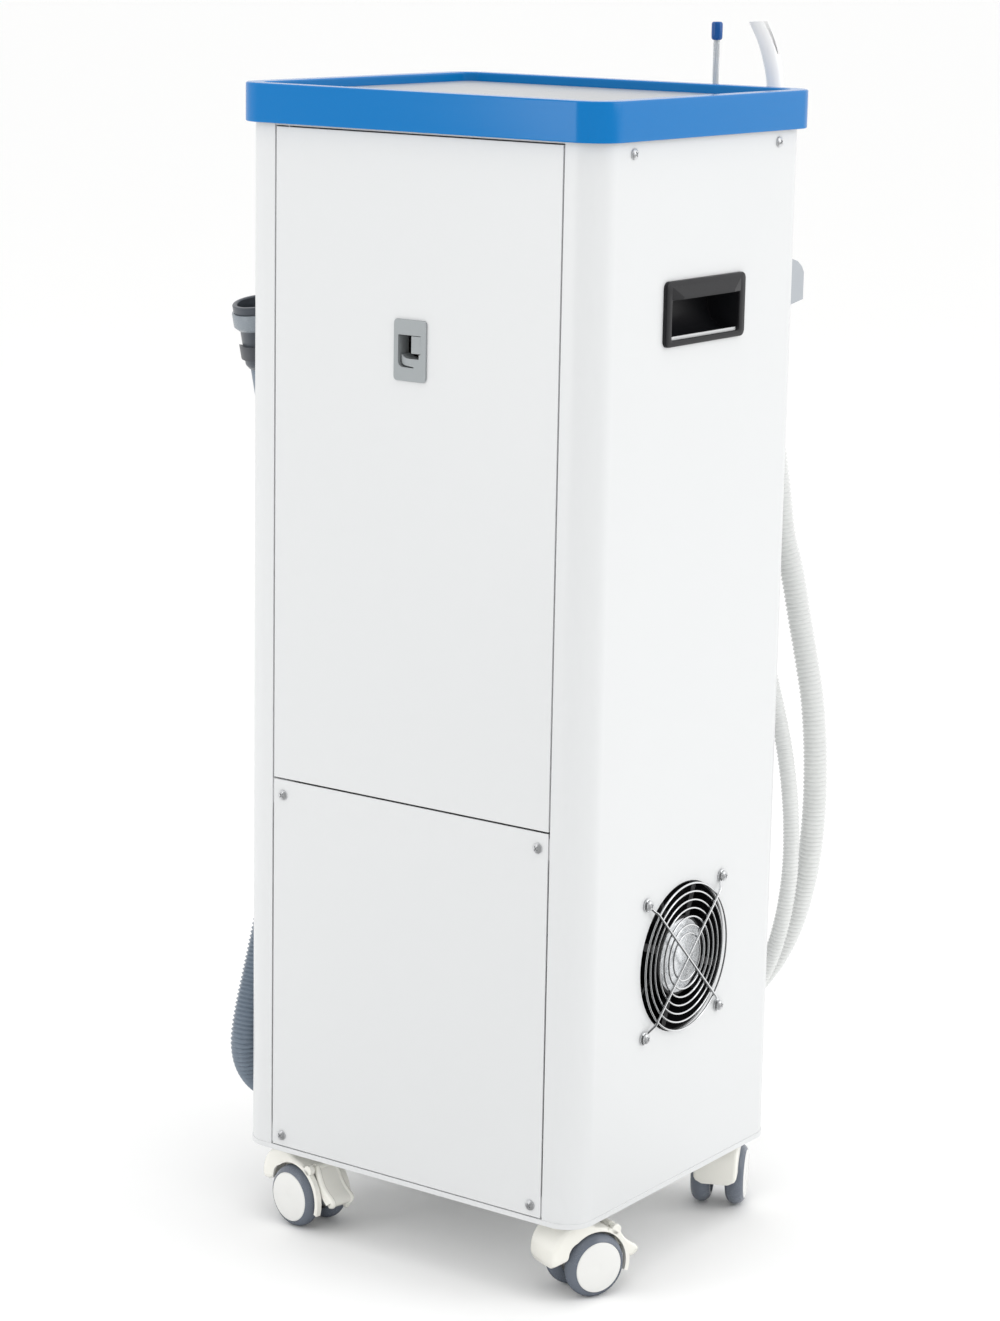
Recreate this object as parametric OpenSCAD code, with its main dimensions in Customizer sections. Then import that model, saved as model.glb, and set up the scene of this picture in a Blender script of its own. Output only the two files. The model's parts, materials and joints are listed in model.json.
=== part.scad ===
// Mobile dental suction unit: a steel cabinet on four twin-wheel casters, with an
// instrument tray on top, a bottle bay behind a door, a pump bay behind a screwed panel,
// and two suction handpieces hanging in a holder at the front.
// Millimetres. Floor at z = 0, front at -Y, door and service panel at +Y, fan at -X.

/* [Cabinet] */
// Outside width of the cabinet, left to right
cab_w = 322; // [300:1:360]
// Outside depth of the cabinet, front to back
cab_d = 282; // [270:1:320]
// Radius of the four upright corners
cab_r = 22; // [16:1:28]
// Thickness of the cabinet sheet
shell_t = 1.5; // [1.2:0.1:2]
// Height of the base plate's underside above the floor
base_z = 65; // [65:1:80]
// Thickness of the base plate
base_t = 4; // [3:0.5:6]
// How far the base plate stands out past the sheet
base_lip = 0.6; // [0.2:0.1:1.5]
// Height of the cabinet's top edge above the floor
cab_top = 871; // [860:1:900]

/* [Door and service panel] */
// Width of the opening that the door and the panel fill
open_w = 261.6; // [250:0.2:270]
// Gap round the door and the panel
edge_gap = 1.5; // [1.2:0.1:2.5]
// Height of the line between the door and the panel
split_z = 369.2; // [340:0.2:400]
// Gap above the door, under the tray
door_head_gap = 2.5; // [2:0.1:4]
// Depth of the door's folded edge
door_fold = 12; // [8:0.5:14]
// Depth of the folds beside the opening
post_fold = 16; // [14.5:0.5:20]
// Diameter of the hinge pins
hinge_pin_d = 5; // [4:0.5:6]
// Distance of the hinge pins in from the door's side edge
hinge_in = 10; // [8:0.5:12]
// Distance of the hinge pins behind the door's face
hinge_back = 5; // [4:0.5:6]

/* [Tray] */
// Height of the blue tray band
band_h = 29; // [24:1:36]
// How far the band stands out past the cabinet
band_over = 6.3; // [4:0.1:10]
// Outer corner radius of the band
band_r = 25; // [20:1:32]
// Width of the band's top edge
band_w = 14; // [9:0.5:16]
// Depth of the tray recess
recess_h = 7; // [6:0.5:12]

/* [Casters] */
// Wheel diameter
wheel_d = 50; // [44:1:50]
// Width of one wheel
wheel_w = 16; // [14:0.5:18]
// Distance between the two wheels of a caster
wheel_gap = 12; // [12:0.5:16]
// Distance of the axle behind the swivel stem
trail = 18; // [16:0.5:20]
// Distance of the stems from the middle, left to right
stem_x = 131; // [120:0.5:135]
// Distance of the stems from the middle, front to back
stem_y = 110; // [100:0.5:115]
// Diameter of the swivel stem
stem_d = 7; // [6:0.5:8]

/* [Fan] */
// Width of the square fan frame
fan_w = 120; // [110:1:120]
// Distance between the fan's screws
fan_pitch = 105; // [96:0.5:105]
// Depth of the fan frame
fan_deep = 38; // [32:1:38]
// Height of the fan's centre above the floor
fan_z = 248; // [200:1:270]
// Diameter of the fan's motor hub
fan_hub_d = 62; // [50:1:66]
// Number of fan blades
blades = 7; // [5:1:9]

/* [Handles and latch] */
// Length of a side handle
handle_l = 109; // [100:1:120]
// Height of a side handle
handle_h = 48; // [44:1:56]
// Height of the handles' centre above the floor
handle_z = 744.5; // [700:0.5:780]
// Width of the latch bezel
latch_w = 29.4; // [26:0.2:34]
// Height of the latch bezel
latch_h = 45.4; // [40:0.2:50]
// Height of the latch's centre above the floor
latch_z = 712.4; // [660:0.2:760]

/* [Handpieces] */
// Diameter of the big suction tube
cannula_d = 13; // [11:0.5:14]
// Diameter of the saliva ejector tube
ejector_d = 5; // [4:0.5:6.5]
// Diameter of the big suction hose
big_hose_d = 20; // [18:0.5:22]
// Diameter of the small suction hose
small_hose_d = 14; // [12:0.5:15]
// Diameter of the drain hose
drain_hose_d = 25; // [22:0.5:26]

/* [Hidden] */
$fn = 64;

side_x = cab_w / 2;
back_y = cab_d / 2;
base_top = base_z + base_t;
in_x = side_x - shell_t;
in_y = back_y - shell_t;
seat = 0.3;
run_fit = 0.05;
small = 0.01;

// Hoses: each route is a list of points chosen by hand, in millimetres.
big_hose_route = [[-112, -170, 696], [-112, -170, 676], [-112, -170, 668], [-112.8, -173, 650], [-115, -180, 627],
    [-119, -186, 590], [-124, -190, 546], [-131, -194, 514], [-137, -197, 480], [-144, -199, 445],
    [-151, -200, 408], [-155, -201, 360], [-154.5, -202, 309], [-149, -202, 261], [-137, -201, 217],
    [-118, -200, 180], [-90, -199, 148], [-52, -198, 124], [-9, -197, 115], [34, -196, 122],
    [72, -195, 144], [101, -194, 178], [121, -193, 218], [133, -192, 265], [137, -191, 315],
    [137, -190, 365], [133, -189, 415], [127, -188, 460], [120, -187, 505], [115, -186, 545],
    [112, -185, 576], [112, -185, 584], [112, -185, 604]];
small_hose_route = [[-59, -170, 662], [-59, -170, 648], [-59, -170, 642], [-62, -170, 620], [-71, -171, 585],
    [-84, -172, 550], [-98, -173, 510], [-113, -173, 470], [-128, -173, 425], [-142, -173, 375],
    [-150, -173, 325], [-152, -172, 275], [-146, -171, 228], [-133, -170, 188], [-110, -169, 153],
    [-76, -168, 127], [-36, -168, 114], [4, -168, 118], [38, -168, 140], [61, -168, 172],
    [75, -168, 212], [83, -168, 260], [86, -168, 315], [85, -168, 370], [80, -168, 425],
    [73, -169, 480], [66, -170, 530], [61, -170, 570], [59, -170, 594],
    [59, -170, 602], [59, -170, 616]];
drain_hose_route = [[177, 22, 88], [177, 47, 88], [177, 54, 88], [177, 69, 89], [177, 84, 93],
    [177, 97, 101], [177, 107, 111], [177, 114, 123], [177, 117, 138], [177, 115, 154], [177, 110, 172],
    [177, 101, 198], [177, 88, 237], [177, 74, 282], [177, 60, 335], [177, 50, 390], [177, 44, 445],
    [177, 44, 500], [178, 50, 550], [179.8, 64, 595], [180.9, 76, 628], [181.3, 80.3, 645.7],
    [181.5, 82.5, 655.5], [182, 88, 680]];
cap_tube_route = [[112, -136, 620], [112, -120, 620], [112, -112, 620], [98, -84, 634], [72, -56, 650],
    [48, -38, 654], [27, -31, 648], [20, -30, 632], [20, -30, 624], [20, -30, 606]];
small_cap_tube_route = [[59, -136, 632], [59, -124, 632], [59, -116, 632], [44, -94, 640], [20, -76, 650],
    [-6, -63, 650], [-17, -60.5, 642], [-20, -60, 628],
    [-20, -60, 620], [-20, -60, 606]];
pump_tube_route = [[-44, -20, 606], [-44, -20, 623], [-44, -20, 630], [-54, -14, 650], [-76, -4, 660],
    [-98, 6, 646], [-110, 14, 612], [-112, 20, 540], [-112, 24, 440], [-112, 26, 365], [-112, 30, 336],
    [-107, 42, 306], [-95, 54, 276], [-77, 60, 250], [-60, 55, 236], [-50, 46, 233],
    [-48, 36, 232], [-48, 30, 232], [-48, 14, 232]];

// Plan outline: a rectangle with round corners.
module rounded(w, d, r) {
    square([w - 2 * r, d], center = true);
    square([w, d - 2 * r], center = true);
    for (x = [-1, 1], y = [-1, 1])
        translate([x * (w / 2 - r), y * (d / 2 - r)]) circle(r);
}

// A plate with that outline, standing on z = 0.
module rounded_plate(w, d, r, h) {
    linear_extrude(h) rounded(w, d, r);
}

// Carries a profile round a rounded rectangle. The profile's x is measured outwards from
// the corner's centre, so its outer edge is at x = r.
module carry_round(w, d, r) {
    cx = w / 2 - r;
    cy = d / 2 - r;
    for (turn = [0:3]) {
        sx = turn == 0 || turn == 3 ? 1 : -1;
        sy = turn < 2 ? 1 : -1;
        translate([sx * cx, sy * cy, 0]) rotate(turn * 90) rotate_extrude(angle = 90) children();
    }
    for (half = [0, 180]) rotate(half) {
        translate([cx, cy, 0]) rotate([90, 0, 0]) linear_extrude(2 * cy) children();
        rotate(90) translate([cy, cx, 0]) rotate([90, 0, 0]) linear_extrude(2 * cx) children();
    }
}

// A tube along +Y or along +X, from the origin.
module rod_y(d, l) { rotate([-90, 0, 0]) cylinder(d = d, h = l); }
module rod_x(d, l) { rotate([0, 90, 0]) cylinder(d = d, h = l); }

// Points of a smooth curve through a route (Catmull-Rom), four to each step.
function at(p, i) = p[max(0, min(len(p) - 1, i))];
function blend(a, b, c, d, t) = 0.5 * (2 * b + (c - a) * t + (2 * a - 5 * b + 4 * c - d) * t * t
    + (3 * b - a - 3 * c + d) * t * t * t);
function smooth(p) = [for (i = [0:len(p) - 2], k = [0:3])
    blend(at(p, i - 1), p[i], p[i + 1], at(p, i + 2), k / 4), p[len(p) - 1]];
function run(p, i = 0, s = 0) = i >= len(p) - 1 ? [s]
    : concat([s], run(p, i + 1, s + norm(p[i + 1] - p[i])));
function place(p, s, d) = [lookup(d, [for (i = [0:len(p) - 1]) [s[i], p[i].x]]),
    lookup(d, [for (i = [0:len(p) - 1]) [s[i], p[i].y]]),
    lookup(d, [for (i = [0:len(p) - 1]) [s[i], p[i].z]])];
function unit(v) = v / norm(v);
// One ring of a tube: centre c, direction t, radius r, with sides that face a fixed way.
function ring(c, t, r, ref, sides) = let (u = unit(cross(t, ref)), v = cross(u, t))
    [for (k = [0:sides - 1]) c + r * (cos(k * 360 / sides) * u + sin(k * 360 / sides) * v)];

// Sweeps a closed tube along a route. rings lists [distance, radius] along the outside and
// back along the bore, so the surface closes on itself.
module swept(route, rings, ref, sides = 8) {
    p = smooth(route);
    s = run(p);
    total = s[len(s) - 1];
    points = [for (r = rings) let (
            d = r[0] * total,
            a = place(p, s, max(0, d - 2)),
            b = place(p, s, min(total, d + 2)))
        each ring(place(p, s, d), unit(b - a), r[1], ref, sides)];
    n = len(rings);
    faces = [for (i = [0:n - 1], k = [0:sides - 1]) let (
            a = i * sides + k,
            b = i * sides + (k + 1) % sides,
            c = ((i + 1) % n) * sides + k,
            d = ((i + 1) % n) * sides + (k + 1) % sides)
        each [[a, b, c], [b, d, c]]];
    polyhedron(points, faces);
}

// A ribbed hose: crests and roots turn about, plain cuffs at both ends, and an open bore.
module ribbed_hose(route, d, bore, ribs, bore_rings, ref) {
    p = smooth(route);
    s = run(p);
    total = s[len(s) - 1];
    cuff = d / total;
    step = (1 - 2 * cuff) / ribs;
    outside = [[0, d / 2], [cuff, d / 2], for (i = [0:ribs - 1])
        each [[cuff + (i + 0.3) * step, d / 2 - d * 0.07], [cuff + (i + 0.8) * step, d / 2]],
        [1, d / 2]];
    inside = [[1, bore / 2], for (i = [bore_rings:-1:0])
        [cuff + (1 - 2 * cuff) * i / bore_rings, bore / 2], [0, bore / 2]];
    swept(route, concat(outside, inside), ref);
}

// A plain tube with a bore.
module plain_tube(route, d, bore, rings, ref) {
    s = run(smooth(route));
    cuff = d / s[len(s) - 1];
    along = [0, for (i = [0:rings]) cuff + (1 - 2 * cuff) * i / rings, 1];
    outside = [for (i = [0:rings + 2]) [along[i], d / 2]];
    inside = [for (i = [rings + 2:-1:0]) [along[i], bore / 2]];
    swept(route, concat(outside, inside), ref);
}

// Sizes that several pieces share
door_w = open_w - 2 * edge_gap;
door_z0 = split_z + edge_gap / 2;
door_z1 = cab_top - door_head_gap;
panel_z0 = base_top + edge_gap / 2;
panel_z1 = split_z - edge_gap / 2;
panel_screw_x = door_w / 2 - 9.1;
panel_screw_z = [panel_z0 + 8.6, panel_z1 - 11.9];
tab_w = 24;
top_screw_y = 98.9;
top_screw_z = cab_top - 9;
screw_d = 4;
screw_hole = 4.5;
head_d = 8;
shelf_z = split_z - 8.7;
lug_w = 9;
lug_l = 16;
hinge_x = door_w / 2 - hinge_in;
hinge_y = back_y - hinge_back;
fan_y = 1.7;
handle_open_l = 92;
handle_open_h = 29;
handle_deep = 26;
handle_wall = 2;
handle_y = 0.7;
latch_x = 2;
hve_x = -112;
se_x = -59;
piece_y = -170;
big_port = [112, -185, 620];
small_port = [59, -170, 632];
drain_port = [177, 6, 88];
guard_wire = 1.8;
guard_bar = 2.4;
guard_out = 5.4;
guard_loop = 2.5;
clip_d = 31.4;
conn_foot = [182, 88, 680];
conn_dir = unit([0.5, 5.5, 24.5]);
conn_tilt = acos(conn_dir.z);
conn_turn = atan2(conn_dir.y, conn_dir.x);
clip_reach = conn_foot.x + 14.1;
middle = [(clip_reach - side_x - guard_out - guard_bar / 2 - 0.2) / 2,
    (big_port.y - 11.5 + back_y + band_over) / 2];
switch_pos = [104, 790];
inlet_pos = [-80, 120];
holder_screw_x = -85.5;
holder_screw_z = 747.5;
pump_pos = [22, -12];
pump_foot = [70, 50];
bottle_pos = [-10, -30];
bottle_r = 72;
bottle_top = 596;

// Puts the middle of the footprint at x = y = 0.
module placed() {
    translate([-middle.x, -middle.y, 0]) children();
}

// Flat steel plate that carries the casters, the sheet and the pump.
module base_plate() {
    color("white") difference() {
        translate([0, 0, base_z])
            rounded_plate(cab_w + 2 * base_lip, cab_d + 2 * base_lip, cab_r + base_lip, base_t);
        for (x = [-1, 1], y = [-1, 1]) translate([x * stem_x, y * stem_y, base_z - 1])
            cylinder(d = 8.4, h = base_t + 2);
        for (x = [-1, 1], y = [-1, 1])
            translate([pump_pos.x + x * pump_foot.x, pump_pos.y + y * pump_foot.y, base_z - 1])
                cylinder(d = 5.3, h = base_t + 2);
        // air slots under the pump
        for (i = [-4:4]) translate([pump_pos.x + i * 12, pump_pos.y, base_z + base_t / 2])
            cube([5, 64, base_t + 2], center = true);
    }
}

// Section of the wrapped sheet: three sides, two rounded back posts and their folds.
module shell_section() {
    difference() {
        rounded(cab_w, cab_d, cab_r);
        rounded(cab_w - 2 * shell_t, cab_d - 2 * shell_t, cab_r - shell_t);
        translate([-open_w / 2, back_y - 6]) square([open_w, 12]);
    }
    for (x = [-open_w / 2 - shell_t, open_w / 2])
        translate([x, back_y - post_fold]) square([shell_t, post_fold]);
}

// Small folded tab behind the service panel, with its tapped hole.
module panel_tab(x, z) {
    side = sign(x);
    outer = open_w / 2 + shell_t / 2;
    translate([side > 0 ? outer - tab_w : -outer, back_y - 2 * shell_t, z - 8])
        cube([tab_w, shell_t, 16]);
}

module cabinet_shell() {
    color("white") difference() {
        union() {
            translate([0, 0, base_top]) linear_extrude(cab_top - base_top) shell_section();
            translate([0, 0, cab_top - shell_t]) linear_extrude(shell_t)
                rounded(cab_w - 2 * shell_t + 1, cab_d - 2 * shell_t + 1, cab_r - shell_t + 0.5);
            // tabs for the service panel
            for (x = [-1, 1], z = panel_screw_z) panel_tab(x * panel_screw_x, z);
            // ledges under the shelf
            for (x = [-1, 1]) translate([x > 0 ? in_x - 10 : -in_x, -100, shelf_z - shell_t])
                cube([10, 200, shell_t]);
            // bracket of the lower hinge pin
            translate([hinge_x - 8, back_y - post_fold, door_z0 - 4.5])
                cube([open_w / 2 + 1 - hinge_x + 8, post_fold - 1.8, 3]);
        }
        for (x = [-1, 1], z = panel_screw_z)
            translate([x * panel_screw_x, back_y - 5, z]) rod_y(screw_d, 10);
        // holes of the four side screws that hold the tray
        for (x = [-1, 1], y = [-1, 1])
            translate([x * side_x - 4, y * top_screw_y, top_screw_z]) rod_x(screw_d, 8);
        // fan opening and its screws
        translate([-side_x - 2, fan_y, fan_z]) rod_x(118, 6);
        for (y = [-1, 1], z = [-1, 1])
            translate([-side_x - 2, fan_y + y * fan_pitch / 2, fan_z + z * fan_pitch / 2])
                rod_x(screw_hole, 6);
        // openings of the two side handles
        for (x = [-1, 1]) translate([x * side_x, handle_y, handle_z])
            cube([8, handle_open_l + 2 * handle_wall + 1, handle_open_h + 2 * handle_wall + 1],
                center = true);
        // slots for the tray's lugs
        for (x = [-1, 1], y = [-1, 1]) translate([x * (in_x - lug_w / 2), y * top_screw_y, cab_top])
            cube([lug_w + 0.6, lug_l + 0.6, 8], center = true);
        // front: hose ports, switch, holder screws
        translate([big_port.x, -back_y - 2, big_port.z]) rod_y(20.6, 6);
        translate([small_port.x, -back_y - 2, small_port.z]) rod_y(14.6, 6);
        translate([switch_pos[0], -back_y, switch_pos[1]]) cube([28.6, 8, 12.8], center = true);
        for (x = [-20, 20]) translate([holder_screw_x + x, -back_y - 4, holder_screw_z]) rod_y(screw_hole, 8);
        // right side: mains inlet, drain port
        translate([side_x, inlet_pos[0], inlet_pos[1]]) cube([8, 28, 20.4], center = true);
        translate([side_x - 4, drain_port.y, drain_port.z]) rod_x(24.6, 8);
    }
}

// Shelf between the two bays. It lies on the ledges.
module mid_shelf() {
    color("lightgrey") difference() {
        union() {
            translate([0, 0, shelf_z]) linear_extrude(shell_t) intersection() {
                rounded(cab_w - 2 * shell_t - 1, cab_d - 2 * shell_t - 1, cab_r - shell_t);
                translate([-side_x, -back_y]) square([cab_w, cab_d - post_fold - 1]);
            }
            translate([-open_w / 2 + 2, back_y - post_fold - 1 - shell_t, shelf_z - 12])
                cube([open_w - 4, shell_t, 12 + small]);
        }
        translate([-112, 26, shelf_z - 1]) cylinder(d = 26, h = 4);
        translate([90, -60, shelf_z - 1]) cylinder(d = 30, h = 4);
    }
    // ring that keeps the bottle in place
    color("lightgrey") translate([bottle_pos.x, bottle_pos.y, shelf_z + shell_t - small])
        difference() {
            cylinder(r = bottle_r + 4, h = 8);
            translate([0, 0, -1]) cylinder(r = bottle_r + 1, h = 10);
        }
}

// Blue band round the tray, with a rounded top edge, a lip below and a ledge for the floor.
module tray_rim() {
    w = cab_w + 2 * band_over;
    d = cab_d + 2 * band_over;
    ledge = 6;
    edge = 1.2;
    color("dodgerblue") translate([0, 0, cab_top]) carry_round(w, d, band_r) {
        difference() {
            union() {
                translate([band_r - band_w - ledge, 0]) square([band_w + ledge - edge, band_h - recess_h - 3]);
                translate([band_r - band_w, 0]) square([band_w - edge, band_h]);
                translate([band_r - edge - small, 0]) square([edge + small, band_h - edge]);
                translate([band_r - edge, band_h - edge]) circle(edge, $fn = 32);
            }
            translate([band_r - band_w - ledge - 1, -1]) square([ledge + band_w - 3.2, band_h - recess_h - 6]);
        }
        // foot that stands on the cabinet's top sheet
        translate([band_r - band_w, 0]) square([2.5, band_h - recess_h - 6]);
    }
    // lugs that reach down inside the cabinet for the side screws
    color("dodgerblue") for (x = [-1, 1], y = [-1, 1])
        translate([x * (in_x - lug_w / 2), y * top_screw_y, (top_screw_z - 9 + cab_top + 16) / 2]) difference() {
            cube([lug_w, lug_l, cab_top + 25 - top_screw_z], center = true);
            translate([-lug_w, 0, top_screw_z - (top_screw_z - 9 + cab_top + 16) / 2]) rod_x(screw_d, 2 * lug_w);
        }
}

// Pale tray floor, which lies on the band's ledge.
module tray_floor() {
    w = cab_w + 2 * band_over - 2 * band_w;
    d = cab_d + 2 * band_over - 2 * band_w;
    color("gainsboro") translate([0, 0, cab_top + band_h - recess_h - 3])
        rounded_plate(w - 0.4, d - 0.4, band_r - band_w - 0.2, 3);
}

module service_panel() {
    color("white") difference() {
        union() {
            translate([-door_w / 2, back_y - shell_t, panel_z0])
                cube([door_w, shell_t, panel_z1 - panel_z0]);
            // stiffening channel pressed on the inside
            translate([-door_w / 2 + 30, back_y - shell_t - 6, (panel_z0 + panel_z1) / 2 - 15])
                cube([door_w - 60, 6 + small, 30]);
        }
        translate([-door_w / 2 + 29, back_y - shell_t - 5, (panel_z0 + panel_z1) / 2 - 13])
            cube([door_w - 58, 6, 26]);
        for (x = [-1, 1], z = panel_screw_z)
            translate([x * panel_screw_x, back_y - 5, z]) rod_y(screw_hole, 10);
    }
}

// Pan-head screw with a cross recess: head above z = 0, shank below.
module pan_screw(l) {
    difference() {
        union() {
            cylinder(d = head_d, h = 1);
            intersection() {
                cylinder(d = head_d, h = 2.6);
                translate([0, 0, 2.6 - 6.2]) sphere(6.2);
            }
        }
        for (a = [0, 90]) rotate(a) translate([0, 0, 2.6]) cube([4.4, 0.9, 2.4], center = true);
    }
    translate([0, 0, -l]) cylinder(d = screw_d - 0.1, h = l + small);
}

module case_screws() {
    color("silver") {
        for (x = [-1, 1], z = panel_screw_z)
            translate([x * panel_screw_x, back_y, z]) rotate([-90, 45, 0]) pan_screw(6);
        for (x = [-1, 1], y = [-1, 1]) translate([x * side_x, y * top_screw_y, top_screw_z])
            rotate([0, x * 90, 0]) rotate(30) pan_screw(6);
        for (y = [-1, 1], z = [-1, 1])
            translate([-side_x - guard_loop, fan_y + y * fan_pitch / 2, fan_z + z * fan_pitch / 2])
                rotate([0, -90, 0]) rotate(20) pan_screw(guard_loop + 8);
        for (x = [-20, 20]) translate([holder_screw_x + x, -in_y, holder_screw_z])
            rotate([-90, 0, 0]) pan_screw(8);
    }
}

// Recessed grip: flange, hood over the fingers, and a scooped pocket.
module handle_cup() {
    lip = 3;
    out_l = handle_open_l + 2 * handle_wall;
    out_h = handle_open_h + 2 * handle_wall;
    difference() {
        union() {
            rotate([0, 90, 0]) rounded_plate(handle_h, handle_l, 5, lip);
            translate([-handle_deep - handle_wall, -out_l / 2, -out_h / 2])
                cube([handle_deep + handle_wall + 1, out_l, out_h]);
            // hood along the top, sloping down to the flange
            translate([0, -handle_l / 2 + 8, 0]) rotate([-90, 0, 0]) linear_extrude(handle_l - 16)
                polygon([[lip - small, -21], [lip + 2.4, -15], [lip + 2.4, -13.6], [lip - small, -13.6]]);
        }
        // pocket with a round floor and a pull edge behind the hood
        translate([-handle_deep, -handle_open_l / 2, -handle_open_h / 2 + 8])
            cube([handle_deep + lip + 6, handle_open_l, handle_open_h - 9]);
        intersection() {
            translate([-handle_deep, -handle_open_l / 2, -handle_open_h / 2])
                cube([handle_deep + lip + 6, handle_open_l, 9]);
            translate([-4, -handle_open_l / 2, -handle_open_h / 2 + 22]) rod_y(44, handle_open_l);
        }
    }
}

module side_handles() {
    color("dimgray") for (s = [0, 180]) rotate(s)
        translate([side_x, s == 0 ? handle_y : -handle_y, handle_z]) handle_cup();
}

// Square fan frame with two flanges, its duct, and the motor on four struts.
module fan_frame() {
    flange = 5;
    duct_d = 115;
    color([0.1, 0.1, 0.1]) translate([-in_x, fan_y, fan_z]) rotate([0, 90, 0]) {
        difference() {
            union() {
                rounded_plate(fan_w, fan_w, 5, flange);
                translate([0, 0, fan_deep - flange]) rounded_plate(fan_w, fan_w, 5, flange);
                cylinder(d = duct_d + 4, h = fan_deep);
            }
            translate([0, 0, -1]) cylinder(d = duct_d, h = fan_deep + 2);
            for (x = [-1, 1], y = [-1, 1]) translate([x * fan_pitch / 2, y * fan_pitch / 2, -1])
                cylinder(d = screw_hole, h = fan_deep + 2);
        }
        translate([0, 0, 1]) cylinder(d = fan_hub_d, h = 8);
        difference() {
            for (a = [20:90:290]) rotate(a) translate([fan_hub_d / 2 - 2, -3, 2])
                cube([duct_d / 2 - fan_hub_d / 2 + 3, 6, 4]);
            translate([0, 0, -1]) cylinder(d = fan_hub_d - 4, h = 12);
        }
        translate([0, 0, 9 - small]) cylinder(d = 5, h = 24);
    }
}

// Rotor cup with curved blades, on the motor's shaft.
module fan_rotor() {
    hub_l = 25;
    blade_r = 55.5;
    color([0.12, 0.12, 0.12]) translate([-in_x, fan_y, fan_z]) rotate([0, 90, 0])
        translate([0, 0, 9.6]) difference() {
            union() {
                cylinder(d = fan_hub_d, h = hub_l);
                for (i = [0:blades - 1]) rotate(i * 360 / blades) intersection() {
                    difference() {
                        cylinder(r = blade_r, h = hub_l - 1);
                        translate([0, 0, -1]) cylinder(r = fan_hub_d / 2 - 1, h = hub_l + 2);
                    }
                    translate([fan_hub_d / 2 - 3, 31, 34]) difference() {
                        rod_x(86, blade_r);
                        translate([-1, 0, 0]) rod_x(82, blade_r + 2);
                    }
                    translate([0, -14, -1]) cube([blade_r + 1, 34, hub_l + 2]);
                }
            }
            translate([0, 0, -1]) cylinder(d = 5 + 2 * run_fit, h = hub_l + 2);
            translate([0, 0, -1]) difference() {
                cylinder(d = fan_hub_d - 5, h = hub_l - 2);
                cylinder(d = 14, h = hub_l - 2);
            }
        }
}

// Wire guard: rings on two crossed bars, whose ends are eyes under the screws.
module finger_guard() {
    reach = fan_pitch * sqrt(2) / 2;
    bend = reach - 13;
    drop = guard_out - 1.7;
    ring_z = guard_out - guard_bar / 2 - guard_wire / 2 + 0.5;
    color("silver") translate([-side_x, fan_y, fan_z]) rotate([0, -90, 0]) {
        for (r = [18.5:6.5:57.5]) rotate_extrude() translate([r, ring_z]) circle(d = guard_wire, $fn = 8);
        for (a = [45, 135]) rotate(a) {
            translate([-bend, 0, guard_out]) rotate([0, 90, 0]) cylinder(d = guard_bar, h = 2 * bend, $fn = 12);
            for (s = [0, 180]) rotate(s) {
                // the bar's end bends down to the wall and closes into an eye
                translate([bend - 0.8, 0, guard_out + 0.3]) rotate([0, 90 + atan2(drop, 8.6), 0])
                    cylinder(d = guard_bar, h = norm([drop, 8.6]), $fn = 12);
                translate([reach, 0, guard_bar / 2 + 0.05]) rotate_extrude() translate([4.2, 0]) circle(d = guard_bar, $fn = 12);
            }
        }
    }
}

// Two steel pins that the door turns on.
module hinge_pins() {
    color("silver") {
        translate([hinge_x, hinge_y, door_z1 - 6]) cylinder(d = hinge_pin_d, h = cab_top - shell_t - door_z1 + 6);
        translate([hinge_x, hinge_y, door_z0 - 1.5]) cylinder(d = hinge_pin_d, h = 8);
    }
}

// Folded door with its hinge lugs and the opening for the latch.
module door_panel() {
    inner = 1.2;
    color("white") difference() {
        union() {
            difference() {
                translate([-door_w / 2, back_y - door_fold, door_z0])
                    cube([door_w, door_fold, door_z1 - door_z0]);
                translate([-door_w / 2 + inner, back_y - door_fold - 1, door_z0 + inner])
                    cube([door_w - 2 * inner, door_fold + 1 - shell_t, door_z1 - door_z0 - 2 * inner]);
            }
            // guides of the latch bar
            for (x = [-90, -34]) translate([x - 5, back_y - 22, latch_z - 11])
                cube([10, 22 - shell_t + small, 22]);
        }
        for (z = [door_z0 - 1, door_z1 - 4]) translate([hinge_x, hinge_y, z])
            cylinder(d = hinge_pin_d + 2 * run_fit, h = 5);
        translate([latch_x, back_y, latch_z]) cube([latch_w - 2, 8, latch_h - 4], center = true);
        // way of the latch bar through its guides and the folded edge
        translate([-door_w / 2 - 1, bar_y - 0.4, latch_z - bar_h / 2 - 0.4])
            cube([door_w / 2, bar_t + 0.8, bar_h + 0.8]);
    }
}

bar_t = 3;
bar_h = 12;
bar_y = back_y - post_fold - 0.3 - bar_t;
lever_axis = [latch_x - 9.6, back_y - 1.6];
arm_l = (lever_axis.y - bar_y) / cos(25);

// Silver bezel with the finger pocket, seated in the door.
module latch_bezel() {
    plate = 1.6;
    deep = 12;
    color([0.66, 0.69, 0.71]) translate([latch_x, back_y, latch_z]) difference() {
        union() {
            rotate([-90, 0, 0]) rounded_plate(latch_w, latch_h, 3, plate);
            translate([-latch_w / 2 + 1.5, -deep, -latch_h / 2 + 3])
                cube([latch_w - 3, deep + small, latch_h - 6]);
        }
        // window with the lever and the pocket
        translate([-12.2, -deep - 1, -2.4]) cube([22.8, deep + 4, 13.6]);
        translate([-7, -deep + 1.5, -11.2]) cube([17.6, deep + 4, 9]);
        // seat of the lever's pivot
        translate([lever_axis.x - latch_x, lever_axis.y - back_y, -6]) cylinder(d = 2 + 2 * run_fit, h = 21);
    }
}

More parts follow.
